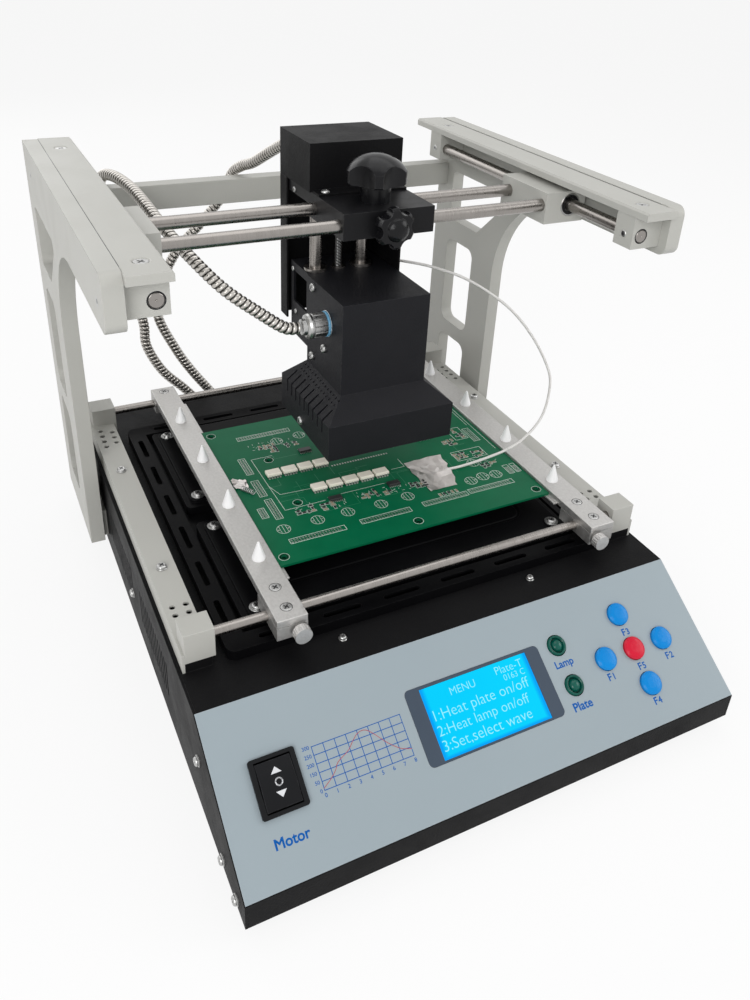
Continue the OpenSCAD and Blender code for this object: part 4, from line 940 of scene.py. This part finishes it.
for side, x in (("left", -94.1), ("right", 116.5)):
    kit = f"{side}_clamp"
    for y in (103.6, 120.8, 366.5):
        spot = screw_on([f"clamp_bar_{side}"], at(x, y, 120), -up_way, kit, 6.4, 0.6, sink=0.3,
                        profile=button_profile)
        # A dark ring round the sunk head paints the shade in the gap round it
        screw_kits[kit][1].append(hollow(spot, up_way, 3.2, 3.7, -0.1, 0.02))
carriers = {"chassis": "station", "sheets": "station", "gantry": "station", "head": "head",
            "cover": "carriage", "left_clamp": "left_clamp", "right_clamp": "right_clamp"}
for kit, (heads, painted_shades) in screw_kits.items():
    made = build(f"screws_{kit}", heads, plated, carriers[kit])
    # The dark discs and rings are painted shade, in a piece of their own
    build(f"recess_shades_{kit}", painted_shades, part_black, carriers[kit])
    if kit == "chassis":
        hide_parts("chassis_screws")
    print(kit, "has", len(painted_shades), "screws")

# %% [markdown]
# ## Fittings and bearings
# A conduit fitting is a scalloped lock ring against the sheet, a blue gasket and a ribbed nut that
# grips the hose. A linear bush shows a black seal with a thin steel rim round each guide rod. A thin
# dark ring paints the shade in the gap round the rods' ends, and thin dark strips paint the shade in
# the seams where the caps meet the frames. The lead screw gets its thread: four starts, left-handed,
# because the head rises when the screw turns to the left.

# %% Conduit fitting on the head
def scallops(count, depth, power):
    """A wave of dents round a turned form."""
    return lambda angle: 1.0 - depth * max(0.0, math.cos(count * angle)) ** power


low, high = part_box("head_gland")
fitting = Vector((high.x, (low.y + high.y) / 2, (low.z + high.z) / 2))
lock_ring = turned(fitting, left_way, [(8.4, 0), (8.8, 0.4), (8.8, 1.8), (8.4, 2.2), (5, 2.2)], 72,
                   scallops(8, 0.05, 6))
ribs = turned(fitting, left_way, [(5, 3.6), (7.6, 3.6), (7.9, 4.1), (7.9, 12.2), (7.5, 12.6)], 96,
              scallops(12, 0.055, 10))
mouth = turned(fitting, left_way, [(7.4, 12.6), (8.1, 12.9), (8.2, 14.4), (7.6, 15.8), (6.2, 16.6),
                                   (5.4, 16.8), (5.2, 19.0), (4.6, 19.4)], 48)
fitting_nut = build("fitting_nut", [lock_ring, ribs, mouth], plated, "head")
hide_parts("head_gland")
gasket = turned(fitting, left_way, [(5, 2.0), (8.1, 2.1), (8.3, 2.9), (8.0, 3.7), (5, 3.7)], 48)
build("fitting_gasket", [gasket], gasket_blue, "head")
print("fitting stands", round((high.x - low.x) * 1000, 1), "mm out of the head")

# %% Seals, rod ends and the lead screw
guide_x = 143.5
bush_low, bush_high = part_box("bridge_bushes")
rod_low, rod_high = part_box("guide_rods")
seals, rims, gap_shades, ends = [], [], [], []
for x in (-guide_x, guide_x):
    for out, bush, rod in ((front_way, bush_low, rod_low), (back_way, bush_high, rod_high)):
        face = at(x, 0, guide_height)
        face.y = bush.y
        seals.append(hollow(face, out, 4.35, 6.6, 0.0, 0.7))
        rims.append(hollow(face, out, 6.6, 7.4, 0.0, 0.95))
        face.y = rod.y
        # A thin dark ring paints the shade in the gap round the rod's end
        gap_shades.append(hollow(face, out, 4.0, 4.75, 0.45, 0.55))
        ends.append(turned(face, out, [(3.9, 0.0), (3.9, 0.25), (3.5, 0.6), (0.6, 0.6), (0.3, 0.3)], 40))
cap_low, cap_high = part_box("guide_caps")
# Thin dark strips paint the shade in the seams where the caps meet the frames
seam_shade_corners = [(-0.0004, -0.0006), (0.0004, -0.0006), (0.0004, 0.00004), (-0.0004, 0.00004)]
seam_shades = [skin([[Vector((x + a, y, cap_high.z + b)) for a, b in seam_shade_corners]
               for y in (cap_low.y + 0.014, cap_high.y - 0.003)]) for x in (cap_low.x, cap_high.x)]
build("cap_seam_shades", seam_shades, part_black, "station")
build("bush_seals", seals, knob_black, "bridge")
build("bush_rims", rims, plated, "bridge")
build("rod_end_gap_shades", gap_shades, knob_black, "station")
build("rod_end_faces", ends, rod_along_y, "station")

thread_starts, thread_lift, thread_core, thread_depth = 4, 0.008, 0.00205, 0.00044


def thread(way, turn):
    """Radius of the lead screw: four left-handed starts, eight millimetres of lift for each turn."""
    flank = abs((thread_starts * (way / thread_lift + turn)) % 1.0 - 0.5) * 2
    return thread_core + thread_depth * min(1.0, max(0.0, 1.6 * flank - 0.3))


low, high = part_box("lead_screw")
axis_x, axis_y = (low.x + high.x) / 2, (low.y + high.y) / 2
screw_line = even([Vector((axis_x, axis_y, low.z)), Vector((axis_x, axis_y, high.z))], 0.00025)
lead_thread, _ = tube("lead_screw_thread", screw_line, thread, 24)
dress(lead_thread, thread_steel)
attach(lead_thread, "screw")
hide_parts("lead_screw")
low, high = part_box("back_channel")
grommet = turned(Vector((high.x, lead_route[0].y, lead_route[0].z)), right_way,
                 [(2.4, -0.2), (2.6, 0.4), (2.4, 1.2), (1.5, 2.4), (1.1, 2.6)], 28)
build("lead_grommet", [grommet], knob_black, "carriage")
print("lead screw thread has", len(screw_line), "rings")

# %% [markdown]
# ## Panel print
# The overlay is printed with labels, a small chart of a heating curve and marks on the rocker. Text
# becomes mesh straight away, so that it exports as it looks. Either the width of the text is given
# or the size of its letters. Labels are spread a little to look bold.

# %% Words
# Letters are drawn 4 mm high, and a search for the face below starts 30 mm above the panel
font_size, above_panel = 4, 30


def on_face(name, u, v):
    """The point on a node's face under a place on the panel."""
    return land([name], on_panel(u, v, above_panel), -panel_out)


def words(name, text, u, v, finish, body, slot, face, bold, width=0.0, tall=0.0):
    """Text on the panel at (u, v), as wide as asked or of a letter size, lying on a node's face."""
    curve = bpy.data.curves.new(name, "FONT")
    curve.body, curve.size = text, font_size / 1000
    curve.bevel_depth, curve.offset = max(bold, 0.0), min(bold, 0.0)
    curve.align_x, curve.align_y, curve.extrude, curve.resolution_u = "CENTER", "CENTER", 0.00001, 4
    draft = bpy.data.objects.new(name + "_draft", curve)
    bpy.context.scene.collection.objects.link(draft)
    bpy.context.view_layer.update()
    mesh = bpy.data.meshes.new_from_object(draft.evaluated_get(bpy.context.evaluated_depsgraph_get()))
    bpy.data.objects.remove(draft)
    across = [vertex.co.x for vertex in mesh.vertices]
    factor = tall / font_size if tall else width / 1000 / (max(across) - min(across))
    mesh.transform(Matrix.Translation(on_face(face, u, v) + panel_out * 0.00002) @ panel_turn
                   @ Matrix.Diagonal((factor, factor, 0.1, 1)))
    mesh.name = name
    piece = link_mesh(name, mesh)
    dress(piece, finish)
    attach(piece, body)


def label(name, text, u, v, bold=0.0001, **size):
    """Blue print on the overlay."""
    words(name, text, u, v, ink_blue, "station", "overlay", "panel_overlay", bold, **size)


labels = [("Lamp", 55.6, 51, 12.6), ("Plate", 55.6, 26.2, 13), ("Motor", -125, 19.4, 18.4)]
for text, u, v, width in labels:
    label("label_" + text, text, u, v, width=width)
button_places = ((81.6, 34.6), (126, 34.2), (104.4, 55.4), (103.8, 13.4), (104.4, 34.2))
for k, (u, v) in enumerate(button_places, 1):
    label(f"label_F{k}", "F", u - 1.4, v, tall=5.8)
    label(f"label_F{k}_number", str(k), u + 1.7, v - 0.2, tall=5.2)
menu = [("menu_title", "MENU", -10.8, 57.8, 16), ("menu_1", "1:Heat plate on/off", -3, 48.6, 62),
        ("menu_2", "2:Heat lamp on/off", -4.6, 40.5, 59), ("menu_3", "3:Set,select wave", -5.6, 32.6, 57),
        ("menu_plate", "Plate-T", 20.6, 59.6, 18), ("menu_value", "0163 C", 22.4, 54.8, 14)]
for name, text, u, v, width in menu:
    words(name, text, u, v, display_letters, "station", "display", "lcd_screen", -0.00005, width)
print("wrote", len(labels) + len(button_places), "labels and", len(menu), "lines on the display")

# %% Chart and rocker marks
chart_left, chart_right, chart_low, chart_high = -102.5, -51.3, 34.5, 56.1
overlay_top, ink_top, curve_top = 0.6, 0.625, 0.64
chart_line, chart_bold = 0.4, 0.00004
lines = []
for k in range(9):
    u = chart_left + (chart_right - chart_left) * k / 8
    lines += ribbon([(u, chart_low), (u, chart_high)], chart_line, on_panel, overlay_top, ink_top)
    label(f"chart_x_{k}", str(k), u, chart_low - 2.4, chart_bold, tall=2.9)
for k, text in enumerate(("0", "50", "150", "200", "250", "300")):
    v = chart_low + (chart_high - chart_low) * k / 5
    lines += ribbon([(chart_left, v), (chart_right, v)], chart_line, on_panel, overlay_top, ink_top)
    label("chart_y_" + text, text, chart_left - 1.0 - 0.75 * len(text), v, chart_bold, tall=2.7)
build("chart_grid", lines, ink_blue, "station")
curve_points = [Vector(p) for p in (
    (-102.4, 35.6), (-97.5, 38.6), (-94, 41.6), (-91.4, 44.8), (-84.5, 48.2), (-80.5, 51.8),
    (-76.6, 54.6), (-72.6, 54.8), (-69, 52), (-63, 45), (-57, 40), (-51.4, 38))]
curve_strokes = ribbon(smooth(curve_points, 5), 0.3, on_panel, ink_top, curve_top)
build("chart_curve", curve_strokes, ink_red, "station")


def on_rocker(u, v, w):
    """A point on the rocker's face, in millimetres from the panel's own ruler."""
    return on_face("rocker_key", u, v) + panel_out * w / 1000


def circle(u, v, radius, steps):
    """Points round a circle, back to the first."""
    turns = [2 * math.pi * k / steps for k in range(steps + 1)]
    return [(u + radius * math.cos(turn), v + radius * math.sin(turn)) for turn in turns]


rocker_u, rocker_v = -123.8, 46
arrow_half, arrow_tall, arrow_gap = 2.8, 3.2, 4.2
mark_low, mark_high = -0.02, 0.03
marks = ribbon(circle(rocker_u, rocker_v, 1.75, 24), 0.6, on_rocker, mark_low, mark_high)
for way in (1, -1):
    v, half = rocker_v + way * arrow_gap, way * arrow_half
    corners = [(rocker_u - half, v), (rocker_u + half, v), (rocker_u, v + way * arrow_tall)]
    marks.append(skin([[on_rocker(a, b, w) for a, b in corners] for w in (mark_low, mark_high)]))
build("rocker_marks", marks, ink_white, "rocker")
print("chart has", len(lines), "strokes")

# %% [markdown]
# The two indicator lenses are moulded: a rim, a groove and a low dome in the middle. The groove
# stays dark and the dome catches the light, which is why such a lens looks like an eye.

# %% Indicator lenses
lens_low, lens_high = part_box("indicator_lenses")
lens_points = [vertex.co for vertex in nodes["indicator_lenses"].data.vertices]
half_way = (lens_low.y + lens_high.y) / 2
# The profile runs inwards as (share of the radius, share of the height)
lens_profile = [(1.0, 0.0), (1.0, 0.72), (0.93, 0.9), (0.8, 0.95), (0.74, 0.7), (0.64, 0.62), (0.58, 0.86),
                (0.4, 0.96), (0.16, 1.0)]
lenses = []
for part in ([p for p in lens_points if p.y > half_way], [p for p in lens_points if p.y <= half_way]):
    spot = sum(part, Vector()) / len(part)
    heights = [(p - spot).dot(panel_out) for p in part]
    low_x, high_x = min(p.x for p in part), max(p.x for p in part)
    radius, tall = (high_x - low_x) * 500, (max(heights) - min(heights)) * 1000
    foot = spot + panel_out * min(heights)
    foot.x = (high_x + low_x) / 2
    lenses.append(turned(foot, panel_out, [(r * radius, h * tall) for r, h in lens_profile], 48))
lens_piece = build("moulded_lenses", lenses, lens_green, "station")
lens_piece.data.polygons.foreach_set("use_smooth", [True] * len(lens_piece.data.polygons))
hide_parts("indicator_lenses")
print("lens radius", round(radius, 2), "mm, height", round(tall, 2), "mm")

# %% [markdown]
# ## Sample board
# The board is a workpiece from somewhere else, so its print is of this lesson's own making: rows of
# pads, rings round the holes, outlines of round and square parts and a scatter of small parts from
# a seeded dice. Every mark is a thin stroke of ink or metal on the mask, a few hundredths high.

# %% Print on the board
board_top, ink_high, thin_line = 89.6, 0.03, 0.22


def on_board(x, y, h=0.0):
    """A point on the board's top face, in millimetres."""
    return at(x, y, board_top + h)


dice = random.Random(11)
board_print, pads, traces, dark_parts_and_hole_shade, tan_parts = [], [], [], [], []


def stroke(line, width, target=board_print, high=ink_high):
    """A stroke along a line on the board, added to a list of chunks."""
    target.extend(ribbon(line, width, on_board, 0.0, high))


def outline(x0, y0, x1, y1, width=0.3):
    """An inked rectangle on the board."""
    stroke([(x0, y0), (x1, y0), (x1, y1), (x0, y1), (x0, y0)], width)


def brick(x, y, wide, deep, low, high, shrink=0.0):
    """A little block on the board, given by its middle."""
    return block((x - wide / 2, y - deep / 2, low), (x + wide / 2, y + deep / 2, high), on_board, shrink)


def pad(x, y, wide, deep):
    """A tinned pad."""
    pads.append(brick(x, y, wide, deep, 0.0, 0.05))


def hole_pad(x, y):
    """A tinned ring round a small hole; a dark block in it paints the hole's shade."""
    pads.append(hollow(on_board(x, y), up_way, 0.4, 0.72, -0.1, 0.04, 10))
    # The dark block paints the shade inside the hole
    dark_parts_and_hole_shade.append(brick(x, y, 0.72, 0.72, -0.1, 0.03))


def header(x0, x1, y, deep=4.6, pitch=1.9):
    """A long connector: outline and two rows of pads."""
    outline(x0, y - deep / 2, x1, y + deep / 2)
    for k in range(int((x1 - x0 - 1.2) / pitch)):
        for row in (-1, 1):
            hole_pad(x0 + 1.4 + k * pitch, y + row * deep * 0.22)


def upright(x0, x1, y0, y1, pitch=1.6):
    """A connector that stands along Y."""
    outline(x0, y0, x1, y1)
    for k in range(int((y1 - y0 - 1.2) / pitch)):
        for x in (x0 * 0.7 + x1 * 0.3, x0 * 0.3 + x1 * 0.7):
            hole_pad(x, y0 + 1.3 + k * pitch)


def can(x, y, radius=4.3):
    """The outline of a round part, hatched with three lines."""
    stroke(circle(x, y, radius, 20), 0.32)
    for k in (-0.5, 0.0, 0.5):
        reach = radius * math.sqrt(1 - k * k)
        stroke([(x + radius * k, y - reach), (x + radius * k, y + reach)], thin_line)
    for s in (-1, 1):
        pad(x + s * radius * 0.75, y, 1.0, 0.9)


def small_part(x, y, flat, tall=0.7):
    """A two-ended part of about two by one millimetre, lying along X or along Y."""
    def turned_way(along, over):
        """A size along the part and one across it, as sizes along X and Y."""
        return (along, over) if flat else (over, along)

    step_x, step_y = turned_way(1.0, 0.0)
    for s in (-1, 1):
        pad(x + s * step_x, y + s * step_y, *turned_way(0.9, 1.2))
    side, end = turned_way(1.75, 0.85)
    outline(x - side, y - end, x + side, y + end, thin_line)
    target = dark_parts_and_hole_shade if dice.random() < 0.6 else tan_parts
    target.append(brick(x, y, *turned_way(2.0, 1.1), 0.05, tall, 0.12))


def flat_pack(x, y, wide=8.6, deep=4.4, legs=7):
    """A dark chip with legs on both long sides."""
    dark_parts_and_hole_shade.append(brick(x, y, wide, deep, 0.25, 1.8, 0.25))
    for k in range(legs):
        for s in (-1, 1):
            spot = x - wide / 2 + (k + 0.5) * wide / legs
            pads.append(brick(spot, y + s * (deep / 2 + 0.6), 0.5, 1.4, 0.0, 0.5, 0.1))


holes = [(x, y) for x in (-79.3, 11.2, 101.7) for y in (145.5, 291.5)] + [(-51.8, 192.8), (-51.8, 246.7)]
for x, y in holes:
    stroke(circle(x, y, 2.15, 20), 0.8, traces)
    stroke(circle(x, y, 3.2, 20), 0.3)
for x0, x1, y in ((-71, -34, 157.4), (-23, 12.6, 158.4), (22.5, 56.2, 159.6), (58, 93, 160.4),
                  (-63.6, -24, 280), (-8, 34, 283), (44, 92, 283)):
    header(x0, x1, y)
for corners in ((-71.6, -66.8, 234.5, 255), (-72, -67, 207.5, 226.5), (-70.8, -66, 181, 203.4),
                (-78.4, -74, 185, 195.8), (95.6, 100.6, 214, 232), (96, 100, 168, 178.5),
                (101.8, 105.4, 168, 178.5)):
    upright(*corners)
for x, y in ((-70, 170.4), (-47, 171), (-26, 171.2), (-2.6, 170.6), (17.5, 171.6), (66, 171), (76.4, 172.4),
             (86.4, 171.4), (79, 189.4), (-38, 268), (-20, 270), (70, 250), (82, 262)):
    can(x, y)
for x, y in ((-24.4, 248.4), (-27.8, 187), (15, 187.6), (40, 262), (62, 232)):
    flat_pack(x, y)
print("board has", len(pads), "pads so far")

# %% Small parts, traces and empty places on the board
# Fields of small parts: place, columns and rows
fields = ((-52, 262, 4, 2), (-45, 256, 2, 3), (-33, 259, 3, 2), (-55, 181, 4, 3), (-38, 179, 3, 3),
          (-10, 181, 4, 3), (6, 179, 2, 3), (26, 178, 4, 3), (38, 164.6, 5, 1), (72, 198, 3, 3),
          (86, 196, 3, 3), (84, 182, 4, 2), (88, 222, 2, 5), (74, 216, 3, 3), (20, 246, 5, 4),
          (48, 248, 4, 4), (-6, 262, 4, 4), (64, 272, 5, 2))
column_step, row_step = 3.2, 2.7
for x, y, columns, rows in fields:
    for i in range(columns):
        for j in range(rows):
            if dice.random() < 0.8:
                small_part(x + i * column_step + dice.uniform(-0.2, 0.2),
                           y + j * row_step + dice.uniform(-0.2, 0.2), dice.random() < 0.55)
for row_y in (223.6, 231.6):
    for k in range(22):
        pad(-14 + k * 2.0, row_y, 0.9, 1.5)
for corners in ((70.6, 195, 94.6, 206.6), (83.6, 220, 94, 236), (18, 243.6, 36, 256.6)):
    outline(*corners)
for line in ([(-63, 251.4), (-62.7, 217), (-59, 205.4), (-35.4, 204)],
             [(-62.7, 217), (-62.2, 188), (-34.4, 188.3)], [(-63, 251.4), (-48, 251.4)],
             [(104.6, 262), (104.6, 200)], [(102.4, 258), (102.4, 236)], [(-22, 191), (10, 191)],
             [(22, 204), (32, 204), (32, 214)]):
    stroke(line, 0.28)
for k in range(26):
    x, y = dice.uniform(-60, 90), dice.uniform(176, 276)
    turn_x, turn_y = [dice.uniform(*reach) * dice.choice((-1, 1)) for reach in ((6, 26), (4, 18))]
    end_x, end_y = max(-80, min(102, x + turn_x)), max(150, min(288, y + turn_y))
    stroke([(x, y), (x, end_y), (end_x, end_y)], 0.34, traces, 0.012)
marked_places = ((-50, 184), (-30, 182), (-6, 184), (12, 183), (30, 182), (-52, 265), (-36, 263), (78, 200),
                 (90, 190))
for k in range(90):
    x, y = dice.choice(marked_places)
    x, y, size = x + dice.uniform(-8, 8), y + dice.uniform(-5, 5), dice.uniform(0.8, 1.6)
    end = (x + size, y) if dice.random() < 0.5 else (x, y + size)
    stroke([(x, y), end], 0.26)
build("board_print", board_print, board_ink, "workpiece")
build("board_pads", pads, tin, "workpiece")
build("board_traces", traces, trace_green, "workpiece")
# Dark parts, and the painted shade in the holes
build("board_dark_parts_and_hole_shade", dark_parts_and_hole_shade, part_black, "workpiece")
build("board_tan_parts", tan_parts, part_tan, "workpiece")
print("board carries", len(pads), "pads and", len(dark_parts_and_hole_shade) + len(tan_parts), "small parts")

# %% [markdown]
# The nine cream packages stand on bent legs. A leg comes out of the side, goes down and turns out on
# its pad. Below each body it is dark, so a black block fills the space between the legs.

# %% Cream packages
chip_wide, chip_deep, chip_pitch = 9.8, 6.4, 11.4
leg_wide, leg_deep, leg_pitch = 1.1, 0.5, 1.9
bodies_cream, legs_tin, shade = [], [], []
for x0, y, count in ((-60.3, 224.5, 4), (-38.3, 198.2, 5)):
    for x in [x0 + k * chip_pitch for k in range(count)]:
        middle = (x + chip_wide / 2, y + chip_deep / 2)
        bodies_cream.append(brick(*middle, chip_wide, chip_deep, 1.25, 3.6, 0.45))
        shade.append(brick(*middle, chip_wide - 0.6, chip_deep - 0.7, 0.05, 1.25, 0.1))
        for spot in [x + 1.1 + n * leg_pitch for n in range(5)]:
            for leg_y, foot in ((y + 0.15, -0.5), (y + 6.25, 0.5)):
                legs_tin.append(brick(spot, leg_y, leg_wide, leg_deep, 0.1, 1.9, 0.1))
                legs_tin.append(brick(spot, leg_y + foot, leg_wide, leg_deep, 0.0, 0.3, 0.08))
chip_bodies = build("chip_bodies", bodies_cream, chip_cream, "workpiece")
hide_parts("sample_chips")
build("chip_legs", legs_tin, tin, "workpiece")
build("chip_shade", shade, part_black, "workpiece")
print("packages:", len(bodies_cream), "with", len(legs_tin) // 2, "legs")

# %% [markdown]
# ## Foil
# A patch of foil holds the sensor on the board. Crumpled foil is a sheet of small flat facets, so
# the grid's points are moved by a seeded dice and the faces stay flat. The sheet rises over the end
# of the lead. A second scrap with a small coil lies by the left bar.

# %% Crumpled foil
foil_thickness, foil_lift, wander, inner_share = 0.00006, 0.15, 1.1, 0.55


def foil(name, corners, columns, rows, crumple, ridge):
    """A crumpled sheet between four corners on the board; ridge(x, y) lifts it over what it covers."""
    corners = [Vector(corner) for corner in corners]
    points, faces = [], []
    for j in range(rows + 1):
        for i in range(columns + 1):
            s, t = i / columns, j / rows
            spot = corners[0].lerp(corners[1], s).lerp(corners[3].lerp(corners[2], s), t)
            reach = wander * (1.0 if i in (0, columns) or j in (0, rows) else inner_share)
            x, y = spot.x + dice.uniform(-reach, reach), spot.y + dice.uniform(-reach, reach)
            points.append(on_board(x, y, foil_lift + dice.random() ** 2 * crumple + ridge(x, y)))
    for j in range(rows):
        for i in range(columns):
            a = j * (columns + 1) + i
            b, c, d = a + 1, a + columns + 2, a + columns + 1
            faces += [(a, b, c), (a, c, d)] if dice.random() < 0.5 else [(a, b, d), (b, c, d)]
    piece = build(name, [(points, faces)], foil_metal, "workpiece")
    thick = piece.modifiers.new("sheet", "SOLIDIFY")
    thick.thickness, thick.offset = foil_thickness, 1.0
    return piece


def over_lead(x, y):
    """Height over the lead's hidden end."""
    along = min(1.0, max(0.0, (x - 40) / 10)) * min(1.0, max(0.0, (66 - x) / 4))
    return 2.3 * along * math.exp(-((y - 188) / 2.2) ** 2)


sensor_foil = foil("sensor_foil", [(33.6, 170.4), (55, 169.6), (63.6, 207.6), (33.4, 206.4)], 7, 9, 0.55,
                   over_lead)
foil("edge_foil", [(-83.6, 221), (-75, 219.4), (-73.8, 229.4), (-83.8, 232.6)], 5, 5, 1.2, lambda x, y: 0.5)
coil_turns, coil_steps, coil_wire = 7, 140, 0.0003
coil_line = []
for k in range(coil_steps + 1):
    s = k / coil_steps
    angle = 2 * math.pi * coil_turns * s
    swing = 1.5 * math.cos(angle)
    coil_line.append(on_board(-80.4 + 5.4 * s + swing * 0.9, 219.6 - 8 * s + swing * 0.45,
                              1.75 + 1.4 * math.sin(angle)))
edge_coil, _ = tube("edge_coil", coil_line, lambda way, turn: coil_wire, 8)
dress(edge_coil, plated)
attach(edge_coil, "workpiece")
print("foil has", len(sensor_foil.data.polygons), "facets")

# %% [markdown]
# ## Mains inlet
# The socket at the back is a guess, and its inside would look empty without contacts. Three flat
# blades stand in the cavity, each with a tapered tip.

# %% Contacts of the inlet
low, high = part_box("power_inlet")
centre = (low + high) / 2
cavity = 0.012


def in_inlet(x, z, depth):
    """A point in the inlet's cavity; depth counts towards the back."""
    return Vector((centre.x + x / 1000, high.y - cavity + depth / 1000, centre.z + z / 1000))


blade = ((-0.6, -2), (-0.6, 2), (0.6, 2), (0.6, -2))
blade_rings = ((-6, 1), (6.5, 1), (8.5, 0.6))
blades = [skin([[in_inlet(x + a * f, z + b * f, depth) for a, b in blade] for depth, f in blade_rings])
          for x, z in ((0, 3), (-5.5, -2.5), (5.5, -2.5))]
build("inlet_blades", blades, plated, "station")
print("inlet has", len(blades), "blades")
